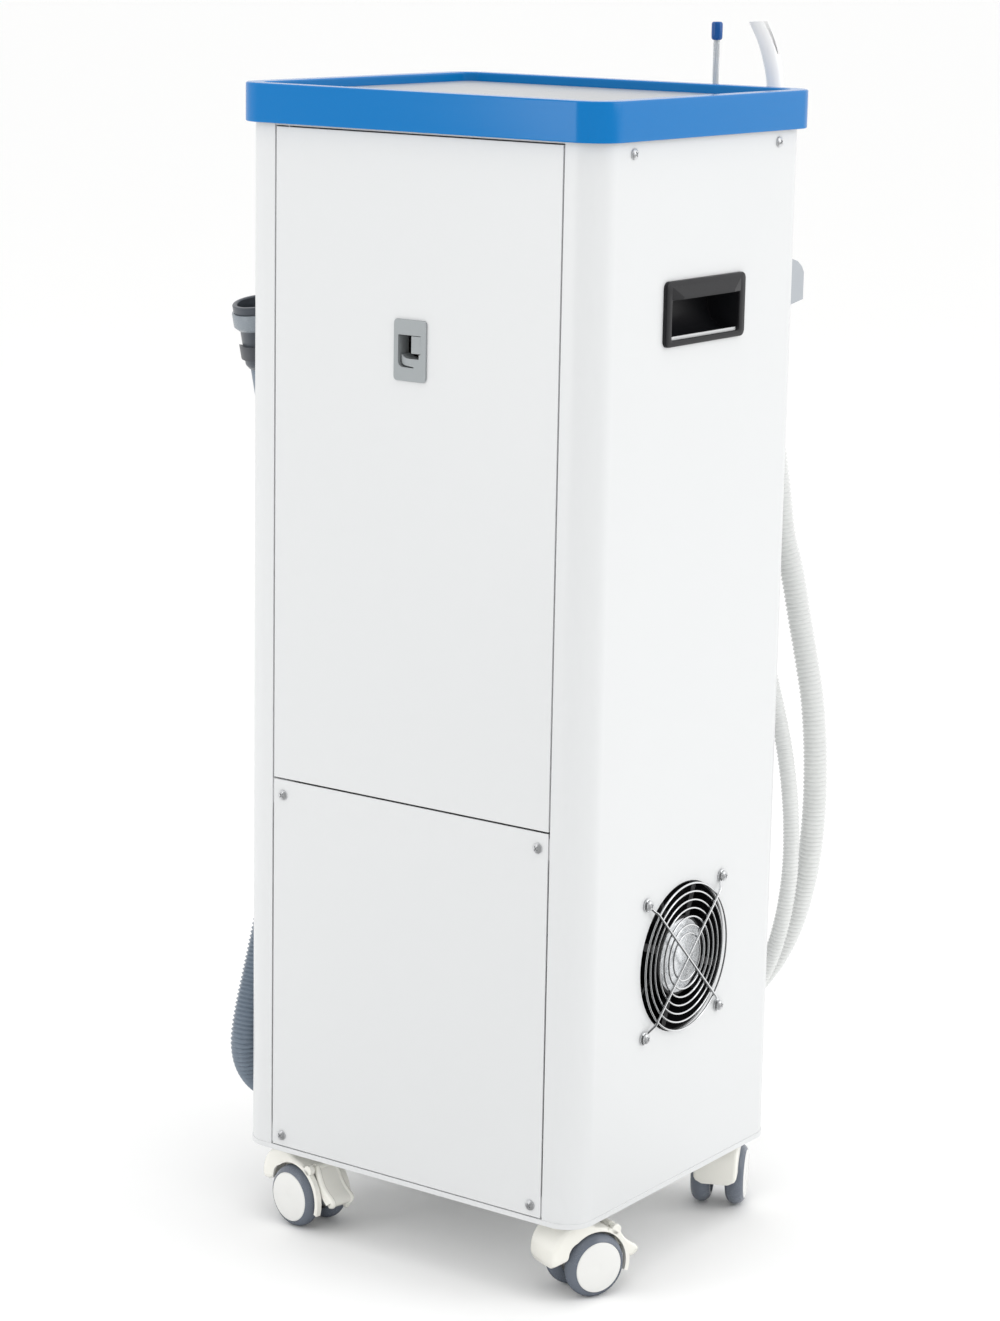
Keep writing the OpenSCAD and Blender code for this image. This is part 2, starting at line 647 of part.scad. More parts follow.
// Flush paddle, which turns about its upright pivot and pulls the bar with its arm.
module latch_lever() {
    color([0.66, 0.69, 0.71]) translate([lever_axis.x, lever_axis.y, latch_z]) {
        translate([-1.3, 0.2, -2]) cube([9.6, 2.2, 12.8]);
        translate([0, 0, -2]) cylinder(r = 1.6, h = 12.8);
        translate([0, 0, -5.5]) cylinder(d = 2, h = 19.5);
        translate([-1, -arm_l, 0]) cube([2, arm_l, 6]);
    }
}

// Flat bar that the lever draws out of the post.
module latch_bar() {
    tip = -open_w / 2 - 4.4;
    notch = 4.6;
    color("silver") difference() {
        translate([tip, bar_y, latch_z - bar_h / 2]) cube([lever_axis.x + 6 - tip, bar_t, bar_h]);
        translate([lever_axis.x - notch / 2, bar_y - 1, latch_z - 0.4]) cube([notch, bar_t + 2, 8]);
    }
}

// Grey plastic holder with two open slots for the handpieces.
module handpiece_holder() {
    x0 = -134;
    w = 97;
    color("lightgrey") difference() {
        translate([x0, -back_y, 0]) rotate([90, 0, 90]) linear_extrude(w) difference() {
            polygon([[0, 727], [0, 768], [-27, 768], [-38, 765], [-45, 760.5], [-48.4, 755.5], [-48.4, 734.4],
                [-29, 731.5]]);
        }
        for (x = [-20, 20]) translate([holder_screw_x + x, -back_y - 9, holder_screw_z]) rod_y(screw_d, 10);
        translate([hve_x, piece_y, 700]) cylinder(d = 19.8, h = 90);
        translate([hve_x - 8.4, -back_y - 60, 700]) cube([16.8, 31, 90]);
        translate([se_x, piece_y, 700]) cylinder(d = 14.8, h = 90);
        translate([se_x - 6, -back_y - 60, 700]) cube([12, 31, 90]);
        // finger scoop between the slots
        translate([(hve_x + se_x) / 2, -back_y - 58, 700]) cylinder(d = 30, h = 90);
    }
}

// An elbow on the wall: flange, body, and a spigot with its collar facing down.
module elbow(pos, d, bore, inner) {
    translate([pos.x, -back_y, pos.z]) rotate([90, 0, 0]) cylinder(d = d + 12, h = 3);
    difference() {
        union() {
            translate([pos.x, pos.y, pos.z]) rod_y(d, -in_y - pos.y + 3.5);
            translate([pos.x, pos.y, pos.z]) rod_y(inner, -in_y - pos.y + 16);
            translate([pos.x, pos.y, pos.z]) sphere(d = d);
            translate([pos.x, pos.y, pos.z - 10]) cylinder(d = d, h = 10);
            translate([pos.x, pos.y, pos.z - 16]) cylinder(d = d + 3, h = 6);
            translate([pos.x, pos.y, pos.z - 28]) cylinder(d = bore + 2, h = 13);
        }
        translate([pos.x, pos.y, pos.z]) rod_y(inner - 3, 80);
        translate([pos.x, pos.y, pos.z]) sphere(d = bore);
        translate([pos.x, pos.y, pos.z - 30]) cylinder(d = bore, h = 30);
    }
}

module hose_ports() {
    color("lightgrey") {
        elbow(big_port, 20, 12, 10);
        elbow(small_port, 14, 7.6, 6.2);
    }
    // drain elbow on the right side, whose spigot faces back
    color("dimgray") {
        translate([side_x, drain_port.y, drain_port.z]) rod_x(36, 3);
        difference() {
            union() {
                translate([in_x - 12, drain_port.y, drain_port.z]) rod_x(24, drain_port.x - in_x + 12);
                translate(drain_port) sphere(d = 24);
                translate(drain_port) rod_y(24, 8);
                translate([drain_port.x, drain_port.y + 8, drain_port.z]) rod_y(28, 8);
                translate([drain_port.x, drain_port.y + 15, drain_port.z]) rod_y(18, 14);
            }
            translate([in_x - 14, drain_port.y, drain_port.z]) rod_x(15, drain_port.x - in_x + 14);
            translate(drain_port) sphere(d = 15);
            translate(drain_port) rod_y(15, 40);
        }
    }
}

// Puts a piece that is drawn upright onto the parked connector's axis.
module on_connector() {
    translate(conn_foot) rotate([0, 0, conn_turn]) rotate([0, conn_tilt, 0]) children();
}

// Spring clip on the right side that holds the parked connector.
module hose_clip() {
    color("dimgray") difference() {
        union() {
            on_connector() translate([0, 0, 9]) cylinder(d = clip_d + 5, h = 11);
            translate([side_x, conn_foot.y - 12, conn_foot.z + 6]) cube([8, 30, 18]);
        }
        on_connector() translate([0, 0, -20]) cylinder(d = clip_d + 2 * seat, h = 80);
        translate([side_x - 20, 40, 660]) cube([20, 100, 70]);
        on_connector() rotate(-conn_turn) translate([5, -12, 0]) cube([30, 24, 40]);
    }
}

// Grey connector at the end of the drain hose: collar, socket and sleeve.
module drain_connector() {
    color("dimgray") on_connector() difference() {
        union() {
            cylinder(d1 = 27, d2 = 31, h = 2);
            translate([0, 0, 2]) cylinder(d = 31.4, h = 30);
            translate([0, 0, 32]) cylinder(d = 33.4, h = 14);
            translate([0, 0, 46]) cylinder(d = 37.4, h = 6);
        }
        translate([0, 0, 30]) cylinder(d = 30, h = 40);
        translate([0, 0, -1]) cylinder(d = 18, h = 60);
    }
}

// Ring nut round the connector, with a bevel below.
module connector_nut() {
    color("gray") on_connector() difference() {
        union() {
            translate([0, 0, 32]) cylinder(d1 = 35.6, d2 = 40, h = 2);
            translate([0, 0, 34]) cylinder(d = 40, h = 11.6);
        }
        translate([0, 0, 30]) cylinder(d = 33.4 + 2 * run_fit, h = 20);
    }
}

// Oil-free pump: finned motor between two piston heads, on a foot plate.
module vacuum_pump() {
    axis_z = base_top + 96;
    motor_r = 46;
    motor_l = 96;
    color("silver") translate([pump_pos.x, pump_pos.y, 0]) {
        difference() {
            translate([-84, -62, base_top + 22]) cube([168, 124, 4]);
            for (x = [-1, 1], y = [-1, 1]) translate([x * pump_foot.x, y * pump_foot.y, base_top + 20])
                cylinder(d = 6.4, h = 10);
        }
        for (x = [-30, 30]) translate([x - 5, -30, base_top + 26 - small]) cube([10, 60, 30]);
        translate([-motor_l / 2, 0, axis_z]) rod_x(2 * motor_r - 6, motor_l);
        for (i = [-5:5]) translate([i * 8.4 - 1.2, 0, axis_z]) rod_x(2 * motor_r, 2.4);
        for (s = [0, 180]) rotate(s) translate([motor_l / 2 - small, 0, 0]) {
            translate([0, 0, axis_z]) rod_x(70, 26);
            translate([4, -20, axis_z]) cube([30, 40, 58]);
            for (k = [0:3]) translate([0, -28, axis_z + 30 + k * 8]) cube([38, 56, 3]);
            translate([2, -26, axis_z + 58]) cube([34, 52, 14]);
        }
        // inlet and outlet nipples on the two heads
        translate([-70, 40, axis_z + 67]) rotate([90, 0, 0]) cylinder(d = 10, h = 16);
        translate([70, -40, axis_z + 67]) rod_y(10, 16);
    }
}

// Rubber feet under the pump's foot plate.
module pump_mounts() {
    color([0.15, 0.15, 0.15]) for (x = [-1, 1], y = [-1, 1])
        translate([pump_pos.x + x * pump_foot.x, pump_pos.y + y * pump_foot.y, base_top]) {
            rotate_extrude() difference() {
                square([12, 22]);
                translate([15, 11]) circle(7);
            }
            translate([0, 0, 22 - small]) cylinder(d = 6, h = 9);
            translate([0, 0, -base_t - 2]) cylinder(d = 5, h = base_t + 3);
        }
}

// Blow-moulded waste bottle with a round shoulder.
module bottle_outline(r, top, grow) {
    translate([0, grow]) square([r - grow - 10, top - 2 * grow]);
    translate([0, 10]) square([r - grow, top - 42 - grow]);
    translate([r - grow - 10 + small, 10 + grow]) circle(10 - small);
    translate([r - 32 - grow, top - 32 - grow]) intersection() {
        circle(32);
        square([33, 33]);
    }
}

module waste_bottle() {
    h = bottle_top - shelf_z - shell_t;
    color([0.85, 0.9, 0.92, 0.6]) translate([bottle_pos.x, bottle_pos.y, shelf_z + shell_t])
        rotate_extrude() difference() {
            union() {
                intersection() {
                    bottle_outline(bottle_r, h - 22, 0);
                    square([bottle_r + 1, h]);
                }
                square([44, h]);
            }
            intersection() {
                translate([0, 3]) bottle_outline(bottle_r - 3, h - 28, 0);
                square([bottle_r, h]);
            }
            translate([0, 20]) square([41, h]);
        }
}

// Screw cap with ribs and three hose nipples.
module bottle_cap() {
    color("lightgrey") translate([bottle_pos.x, bottle_pos.y, bottle_top - 18]) {
        difference() {
            union() {
                cylinder(d = 98, h = 21);
                for (a = [0:15:345]) rotate(a) translate([48, -2, 0]) cube([3, 4, 19]);
            }
            translate([0, 0, -1]) cylinder(d = 88 + 2 * seat, h = 19);
        }
        for (p = [[30, 0, 14], [-10, -46 + 16, 10], [-34, 10, 14]])
            translate([p[0], p[1], 20]) cylinder(d = p[2] == 14 ? 9.4 : 5.4, h = 14);
        for (p = [[30, 0, 14], [-10, -46 + 16, 10], [-34, 10, 14]])
            translate([p[0], p[1], 20]) cylinder(d = p[2] == 14 ? 17 : 12, h = 8);
    }
}

// Soft tubes from the ports to the bottle, and from the bottle down to the pump.
module inner_tubes() {
    color("whitesmoke") {
        plain_tube(cap_tube_route, 16, 11, 14, [1, 0.5, 0]);
        plain_tube(small_cap_tube_route, 11, 7, 14, [1, 0.5, 0]);
        plain_tube(pump_tube_route, 16, 11, 18, [1, 1, 0]);
    }
}

// Sheet box with the starting relay and the terminals.
module control_box() {
    color("lightgrey") difference() {
        translate([44, -in_y, 700]) cube([86, 42, 64]);
        translate([46, -in_y + 2, 702]) cube([82, 38, 60]);
        for (i = [0:4]) translate([64 + i * 12, -in_y + 40, 720]) cube([4, 6, 26]);
    }
    color("dimgray") translate([56, -in_y + 2, 702 - small]) cube([30, 30, 40]);
}

// Appliance inlet with three pins, flush in the right wall.
module mains_inlet() {
    color([0.1, 0.1, 0.1]) translate([side_x, inlet_pos[0], inlet_pos[1]]) rotate(90) {
        difference() {
            union() {
                translate([0, -1.2, 0]) cube([50, 2.4, 23.6], center = true);
                translate([0, 10, 0]) cube([27.6, 20, 20], center = true);
            }
            translate([0, 7, 0]) cube([24.4, 20, 16.4], center = true);
            for (x = [-20, 20]) translate([x, -4, 0]) rod_y(3.4, 8);
        }
        for (p = [[-7, -2], [0, 2], [7, -2]]) translate([p[0] - 1, 3, p[1] - 2]) cube([2, 15, 4]);
    }
}

// Snap-in frame of the power switch.
module switch_housing() {
    color([0.1, 0.1, 0.1]) translate([switch_pos[0], -back_y, switch_pos[1]]) difference() {
        union() {
            translate([0, -1, 0]) cube([31.6, 2, 15.6], center = true);
            translate([0, 9, 0]) cube([28, 18, 12.2], center = true);
        }
        translate([0, 2, 0]) cube([25, 16, 9.6], center = true);
    }
    color([0.1, 0.1, 0.1]) translate([switch_pos[0], -back_y + 5, switch_pos[1] - 5]) cylinder(d = 2, h = 10);
}

// Rocker on its pin, tipped to one side.
module rocker() {
    color("green") translate([switch_pos[0], -back_y + 5, switch_pos[1]]) rotate(8) difference() {
        translate([0, 0, -4.5]) linear_extrude(9) polygon([[-11.2, -4.5], [-10.6, -6.2], [-5, -5.1], [0, -4.7],
            [5, -5.1], [10.6, -6.2], [11.2, -4.5], [5, 2.2], [-5, 2.2]]);
        translate([0, 0, -6]) cylinder(d = 2 + 2 * run_fit, h = 12);
    }
}

// Turned body of a handpiece: tail socket, grip, neck in the holder, and head.
module handpiece_body(x, r, neck_r, z0, z1, bore, socket_r, socket_l, nipple) {
    translate([x, piece_y, 0]) difference() {
        union() {
            rotate_extrude() polygon([[0, z0], [r - 2, z0], [r, z0 + 3], [r, 700], [r - 2, 715], [neck_r, 726],
                [neck_r, 768], [r + 1.5, 768], [r + 1.5, 772], [r, 775], [r, z1 - 6],
                [r - 3, z1], [0, z1]]);
            translate([0, 0, z0 - 16]) cylinder(r = nipple, h = 20);
            // flat with the valve's slot
            translate([-6, -r - 3, 778]) cube([12, r, 28]);
        }
        translate([0, 0, z0 - 20]) cylinder(r = bore, h = z1 - z0 + 40);
        translate([0, 0, z1 - socket_l]) cylinder(r = socket_r, h = socket_l + 1);
        translate([-2.5, -r - 4, 781]) cube([5, 4.8, 22]);
    }
}

module hve_handpiece() {
    color("lightgrey")
        handpiece_body(hve_x, 12, 9.5, 696, 812, 5, cannula_d / 2 + run_fit, 16, 6.6);
}

module se_handpiece() {
    color("lightgrey")
        handpiece_body(se_x, 8.6, 7, 662, 808, 2, ejector_d / 2 + run_fit, 14, 4);
}

// Thumb slide of a valve: ribbed cap outside, tongue in the slot.
module valve_slide(x, r) {
    translate([x, piece_y, 0]) {
        difference() {
            translate([-5.4, -r - 3 - seat - 2.6, 792]) cube([10.8, 2.6, 12]);
            for (z = [794:2.5:802]) translate([-6, -r - 3 - seat - 3, z]) cube([12, 1, 1]);
        }
        translate([-2.2, -r - 3 - seat - small, 794]) cube([4.4, 3.2, 8]);
    }
}

module hve_slider() { color("white") valve_slide(hve_x, 12); }
module se_slider() { color("white") valve_slide(se_x, 8.6); }

// Big suction tube: straight stem, slight bend, flared end and a slanted mouth.
module hve_cannula() {
    r = cannula_d / 2;
    // centre line: [distance from the holder's line towards +X, height, radius]
    line = [[0, 797, 0], [0, 884, 0], [0.8, 892, 0], [2.8, 900, 0], [5.4, 908, 0], [8.6, 918, 0],
        [13.4, 930, 1], [19.2, 943, 2], [24.4, 954, 2.6]];
    last = len(line) - 1;
    points = [for (i = [0:last]) [hve_x + line[i][0], piece_y, line[i][1]]];
    sides = 20;
    rings = concat([for (i = [0:last]) [i, r + line[i][2]]], [for (i = [last:-1:0]) [i, r - 1.4 + line[i][2]]]);
    verts = [for (q = rings) let (
            i = q[0],
            d = unit(points[min(last, i + 1)] - points[max(0, i - 1)]))
        each ring(points[i], d, q[1], [0, 1, 0], sides)];
    n = len(rings);
    faces = [for (i = [0:n - 1], k = [0:sides - 1]) let (
            a = i * sides + k,
            b = i * sides + (k + 1) % sides,
            c = ((i + 1) % n) * sides + k,
            d = ((i + 1) % n) * sides + (k + 1) % sides)
        each [[a, b, c], [b, d, c]]];
    color("whitesmoke") difference() {
        polyhedron(verts, faces);
        translate([hve_x + 27, piece_y, 948.5]) rotate([0, -38, 0]) translate([-60, -20, 0]) cube([80, 40, 40]);
    }
}

// Clear ejector tube and its soft tip.
module ejector_tube() {
    color("white") translate([se_x, piece_y, 0]) difference() {
        translate([0, 0, 795]) cylinder(d = ejector_d, h = 140);
        translate([0, 0, 790]) cylinder(d = ejector_d - 1.6, h = 150);
    }
}

module ejector_tip() {
    color("blue") translate([se_x, piece_y, 932.4]) difference() {
        rotate_extrude() polygon([[0, 0], [3.4, 0], [4.4, 1.4], [4.4, 12.4], [3.6, 14], [0, 14]]);
        translate([0, 0, -1]) cylinder(d = ejector_d + 0.1, h = 3.7);
        translate([0, 0, 2]) cylinder(d = 3.4, h = 10);
        for (z = [5.5, 8.5]) for (a = [0:60:300]) rotate(a + z * 10) translate([1.3, 0, z]) rod_x(1.1, 5);
    }
}

module hve_hose() { color("lightgrey") ribbed_hose(big_hose_route, big_hose_d, 15.6, 84, 26, [0, 1, 0]); }
module se_hose() { color("lightgrey") ribbed_hose(small_hose_route, small_hose_d, 10.6, 84, 26, [0, 1, 0]); }
module drain_hose() { color("slategray") ribbed_hose(drain_hose_route, drain_hose_d, 20, 64, 16, [1, 0, 0]); }

// Casters. Each is drawn about its stem, with the axle on local +X, and turned as it stands.
CASTERS = [[-1, 1, 246.6], [1, 1, 168.5], [-1, -1, 294.6], [1, -1, 120]];
axle_z = wheel_d / 2;
axle_d = 5;
hood_in = wheel_d / 2 + 2;
hood_out = hood_in + 3.4;
hood_w = wheel_gap + 2 * wheel_w - 2;
web_w = wheel_gap - 1;
collar_h = 3;

module at_caster(i) {
    translate([CASTERS[i][0] * stem_x, CASTERS[i][1] * stem_y, 0]) rotate(CASTERS[i][2]) children();
}

// Steel stems: stud and nut in the base plate, collar under it, and the swivel pin.
module caster_stems() {
    color("silver") for (i = [0:3]) at_caster(i) {
        translate([0, 0, axle_z + 12]) cylinder(d = stem_d, h = base_z - axle_z - 12);
        translate([0, 0, base_z - collar_h]) cylinder(d = 20, h = collar_h);
        translate([0, 0, base_z - small]) cylinder(d = 8, h = base_t + 9);
        translate([0, 0, base_top]) cylinder(d = 14.4, h = 6, $fn = 6);
    }
}

// A slice of a ring in the side view, between two angles.
module ring_slice(r1, r2, a0, a1) {
    steps = 8;
    far = r2 * 2;
    intersection() {
        difference() {
            circle(r2);
            circle(r1);
        }
        polygon([[0, 0], for (k = [0:steps]) far * [cos(a0 + (a1 - a0) * k / steps), sin(a0 + (a1 - a0) * k / steps)]]);
    }
}

// Extrudes a side view across the caster, centred.
module across(w) {
    rotate([90, 0, 0]) translate([0, 0, -w / 2]) linear_extrude(w) children();
}

pedal_pin = [trail + 18, axle_z + 26];
pedal_w = 24;

// Moulded hood: web between the wheels, roof over them, apron in front, ears for the pedal.
module caster_hood(brake) {
    color("ivory") difference() {
        union() {
            across(web_w) {
                translate([trail, axle_z]) circle(11);
                polygon([[trail - 11, axle_z], [trail + 11, axle_z], [trail + 8, axle_z + 28], [-5.5, axle_z + 31],
                    [-5.5, axle_z + 9]]);
            }
            across(hood_w) translate([trail, axle_z]) ring_slice(hood_in, hood_out, brake ? 66 : 40, 150);
            if (brake) for (s = [-1, 1]) translate([0, s * (hood_w / 2 + pedal_w / 2 + 1) / 2, 0])
                across(hood_w / 2 - pedal_w / 2 - 1) {
                    translate([trail, axle_z]) ring_slice(hood_in, hood_out, 36, 68);
                    translate(pedal_pin) circle(4);
                }
            if (brake) across(hood_w - 4) translate(pedal_pin) circle(1.5);
            across(35) translate([4, 36]) ring_slice(22, 24.5, 112, 200);
            translate([0, 0, axle_z + 27]) cylinder(d = 24, h = base_z - collar_h - 0.5 - axle_z - 27);
        }
        translate([0, 0, axle_z]) cylinder(d = stem_d + 2 * run_fit, h = 60);
        translate([trail, hood_w, axle_z]) rotate([90, 0, 0]) cylinder(d = axle_d + 2 * run_fit, h = 2 * hood_w);
        // room for the wheels under the top plate
        for (s = [-1, 1]) translate([0, s * (web_w / 2 + 20), 0]) across(40)
            translate([trail, axle_z]) circle(hood_in);
    }
}

// Steel axle.
module caster_axle() {
    color("silver") translate([trail, -wheel_gap / 2 - wheel_w + 3, axle_z]) rod_y(axle_d, wheel_gap + 2 * wheel_w - 6);
}

// Wheel with a round grey tyre and a flat white disc. side is +1 or -1.
module caster_wheel(side) {
    r = wheel_d / 2;
    color("slategray") translate([trail, side * wheel_gap / 2, axle_z]) rotate([side * -90, 0, 0]) difference() {
        rotate_extrude() {
            translate([r - wheel_w / 2, wheel_w / 2]) circle(wheel_w / 2);
            square([r - wheel_w / 2, wheel_w - 0.4]);
            translate([0, wheel_w / 2]) square([r - 5, wheel_w / 2 - 0.1]);
        }
        translate([0, 0, -1]) cylinder(d = axle_d + 2 * run_fit, h = wheel_w - 1.6);
        translate([0, 0, -1]) difference() {
            cylinder(r = r - 8, h = 9);
            cylinder(r = 5.5, h = 9);
        }
    }
}

// Brake pedal: a curved tread plate with raised edges, its hub and the brake shoe.
module brake_pedal() {
    tread = [[33.5, 53], [38.4, 51.6], [42.8, 44], [46.6, 38], [52, 33.6], [58, 29.8], [58.6, 27.6], [57, 25.8],
        [50.6, 30], [44.6, 34.6], [41, 39.6], [37.8, 45], [34.6, 49]];
    color("ivory") difference() {
        union() {
            across(pedal_w) polygon(tread);
            across(pedal_w) translate(pedal_pin) circle(3.8);
            for (s = [-1, 1]) translate([0, s * (pedal_w / 2 - 0.9), 0]) across(1.8) polygon([[38.4, 51.6],
                [40.6, 51.6], [44.4, 45], [48, 39.4], [53.2, 35], [59.2, 31], [58, 29.6], [52, 33.4], [42.6, 43.6]]);
            across(pedal_w - 4) polygon([[38.6, 43.6], [44, 35.4], [42.9, 34], [40.8, 37]]);
        }
        translate([pedal_pin[0], pedal_w, pedal_pin[1]]) rotate([90, 0, 0]) cylinder(d = 3 + 2 * run_fit, h = 2 * pedal_w);
    }
}

placed() base_plate();
placed() cabinet_shell();
placed() mid_shelf();
placed() tray_rim();
placed() tray_floor();
placed() service_panel();
placed() case_screws();
placed() side_handles();
placed() fan_frame();
placed() finger_guard();
placed() hinge_pins();
placed() handpiece_holder();
placed() hose_ports();
placed() hose_clip();
placed() vacuum_pump();
placed() pump_mounts();
placed() waste_bottle();
placed() bottle_cap();
placed() inner_tubes();
placed() control_box();
placed() mains_inlet();
placed() switch_housing();
placed() hve_handpiece();
placed() hve_cannula();
placed() se_handpiece();
placed() ejector_tube();
placed() ejector_tip();
placed() hve_hose();
placed() se_hose();
placed() drain_hose();
placed() drain_connector();
placed() connector_nut();
placed() caster_stems();
placed() rocker();
placed() fan_rotor();
placed() door_panel();
placed() latch_bezel();
placed() latch_lever();
placed() latch_bar();
placed() hve_slider();
placed() se_slider();
placed() at_caster(0) caster_hood(true);  // caster_hood_rl
placed() at_caster(1) caster_hood(true);  // caster_hood_rr
placed() at_caster(2) caster_hood(false);  // caster_hood_fl
placed() at_caster(3) caster_hood(false);  // caster_hood_fr
placed() at_caster(0) caster_axle();  // caster_axle_rl
placed() at_caster(1) caster_axle();  // caster_axle_rr
placed() at_caster(2) caster_axle();  // caster_axle_fl
placed() at_caster(3) caster_axle();  // caster_axle_fr
placed() at_caster(0) caster_wheel(-1);  // wheel_rl_out
placed() at_caster(0) caster_wheel(1);  // wheel_rl_in
placed() at_caster(1) caster_wheel(-1);  // wheel_rr_out
placed() at_caster(1) caster_wheel(1);  // wheel_rr_in
placed() at_caster(2) caster_wheel(-1);  // wheel_fl_out
placed() at_caster(2) caster_wheel(1);  // wheel_fl_in
placed() at_caster(3) caster_wheel(-1);  // wheel_fr_out
placed() at_caster(3) caster_wheel(1);  // wheel_fr_in
placed() at_caster(0) brake_pedal();  // brake_pedal_rl
placed() at_caster(1) brake_pedal();  // brake_pedal_rr
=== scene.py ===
import json
import math

import bmesh
import bpy
import numpy as np
from mathutils import Matrix, Vector
from mathutils.geometry import tessellate_polygon

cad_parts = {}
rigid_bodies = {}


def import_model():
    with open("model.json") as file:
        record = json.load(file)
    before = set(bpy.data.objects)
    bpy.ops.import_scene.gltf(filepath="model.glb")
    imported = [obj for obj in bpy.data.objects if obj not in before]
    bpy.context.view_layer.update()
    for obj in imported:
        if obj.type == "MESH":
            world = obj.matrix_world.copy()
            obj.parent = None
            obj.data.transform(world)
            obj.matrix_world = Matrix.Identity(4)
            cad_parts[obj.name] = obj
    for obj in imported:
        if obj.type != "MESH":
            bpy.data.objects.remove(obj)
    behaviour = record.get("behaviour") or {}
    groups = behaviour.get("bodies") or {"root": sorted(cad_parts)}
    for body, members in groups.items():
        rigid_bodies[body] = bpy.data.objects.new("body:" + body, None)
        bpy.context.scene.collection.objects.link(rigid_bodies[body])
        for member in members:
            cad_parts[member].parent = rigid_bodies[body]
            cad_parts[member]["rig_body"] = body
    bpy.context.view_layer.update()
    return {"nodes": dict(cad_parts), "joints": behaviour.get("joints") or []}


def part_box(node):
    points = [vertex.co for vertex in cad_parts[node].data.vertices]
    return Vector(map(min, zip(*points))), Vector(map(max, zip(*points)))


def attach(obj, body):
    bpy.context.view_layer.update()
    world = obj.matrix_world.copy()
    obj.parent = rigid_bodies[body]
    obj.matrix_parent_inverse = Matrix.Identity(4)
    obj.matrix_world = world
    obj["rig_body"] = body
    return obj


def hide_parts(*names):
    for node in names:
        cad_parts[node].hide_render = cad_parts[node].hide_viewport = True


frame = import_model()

# Camera
# It stands about 2.6 m off, before the corner between the door side and the fan side,
# a little above the tray, and looks slightly down through a long lens.


def box_middle(box):
    """Middle of a box, as three numbers in metres."""
    return [(low + high) / 2 for low, high in zip(*box)]


def in_scene(name, data):
    """A new object with that data, linked to the scene."""
    made = bpy.data.objects.new(name, data)
    bpy.context.scene.collection.objects.link(made)
    return made


cabinet_low, cabinet_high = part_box("cabinet_shell")
cabinet_axis = Vector((*box_middle((cabinet_low, cabinet_high))[:2], 0))
eye = cabinet_axis + Vector((-1.4852, 2.1196, 1.0290))
turn, tilt, roll = (math.radians(angle) for angle in (215.323, 12.479, 1.07))
level = Vector((math.cos(turn), math.sin(turn), 0))
upward = Vector((-math.sin(turn) * math.sin(tilt), math.cos(turn) * math.sin(tilt), math.cos(tilt)))
to_eye = Vector((math.sin(turn) * math.cos(tilt), -math.cos(turn) * math.cos(tilt), math.sin(tilt)))
photo_height_px = 1321
lens_reach_px = 3394.78
camera_data = bpy.data.cameras.new("camera")
camera_data.sensor_width = 36
camera_data.lens = camera_data.sensor_width * lens_reach_px / photo_height_px
camera_data.clip_end = 400
camera = in_scene("camera", camera_data)
rolled_right = math.cos(roll) * level + math.sin(roll) * upward
rolled_up = math.cos(roll) * upward - math.sin(roll) * level
facing = Matrix((rolled_right, rolled_up, to_eye)).transposed().to_4x4()
camera.matrix_world = Matrix.Translation(eye) @ facing
bpy.context.scene.camera = camera

# Suction hoses
# Two soft ribbed hoses hang in loops from the handpieces' tails to elbows low on the front wall.
# Each is light grey vinyl, corrugated between two plain cuffs that push over its fittings.
mm = 0.001


def cabinet_mm(points):
    """Points in millimetres from the cabinet's middle on the floor, turned into the frame's metres."""
    return np.array(points, float) * mm + np.array(cabinet_axis)


def smooth_run(points, steps):
    """Catmull-Rom curve. Between two points it is the cubic whose slope at each end is half the
    step from the point before to the point after."""
    p = np.vstack([points[0], points, points[-1]])
    a, b, c, d = (q[:, None, :] for q in (p[:-3], p[1:-2], p[2:-1], p[3:]))
    t = (np.arange(steps) / steps)[None, :, None]
    run = 0.5 * (2 * b + (c - a) * t + (2 * a - 5 * b + 4 * c - d) * t**2
                 + (3 * b - a - 3 * c + d) * t**3)
    return np.vstack([run.reshape(-1, p.shape[1]), points[-1]])


def travelled(line):
    """Distance along a line of points at each point: the running sum of its steps."""
    return np.concatenate([[0], np.cumsum(np.linalg.norm(np.diff(line, axis=0), axis=1))])


def stations(line, distances):
    """Points at those distances along a line, and the unit chord over 2 mm each way there."""
    s, reach = travelled(line), 2 * mm

    def spot(d):
        return np.stack([np.interp(d, s, line[:, k]) for k in range(3)], axis=-1)

    way = spot(np.minimum(distances + reach, s[-1])) - spot(np.maximum(distances - reach, 0))
    return spot(distances), way / np.linalg.norm(way, axis=1, keepdims=True)


def rings_round(centres, ways, radii, across, sides):
    """A ring of points round each centre: the radius times (cosine along u plus sine along v),
    where u is square to the way and to a fixed direction, and v is square to u and the way."""
    u = np.cross(ways, across)
    u /= np.linalg.norm(u, axis=1, keepdims=True)
    v = np.cross(u, ways)
    angle = 2 * np.pi * np.arange(sides) / sides
    spoke = np.cos(angle)[None, :, None] * u[:, None, :] + np.sin(angle)[None, :, None] * v[:, None, :]
    return centres[:, None, :] + np.asarray(radii)[:, None, None] * spoke


def grid_faces(rows, columns, wrap_rows=True):
    """Four-sided faces between neighbours of a grid. Its last column joins its first, and so does its
    last row unless it is left open."""
    i = np.arange(rows if wrap_rows else rows - 1)[:, None]
    j = np.arange(columns)[None, :]
    i_next, j_next = (i + 1) % rows, (j + 1) % columns
    corners = [i * columns + j, i * columns + j_next, i_next * columns + j_next, i_next * columns + j]
    return np.stack(np.broadcast_arrays(*corners), axis=-1).reshape(-1, 4)


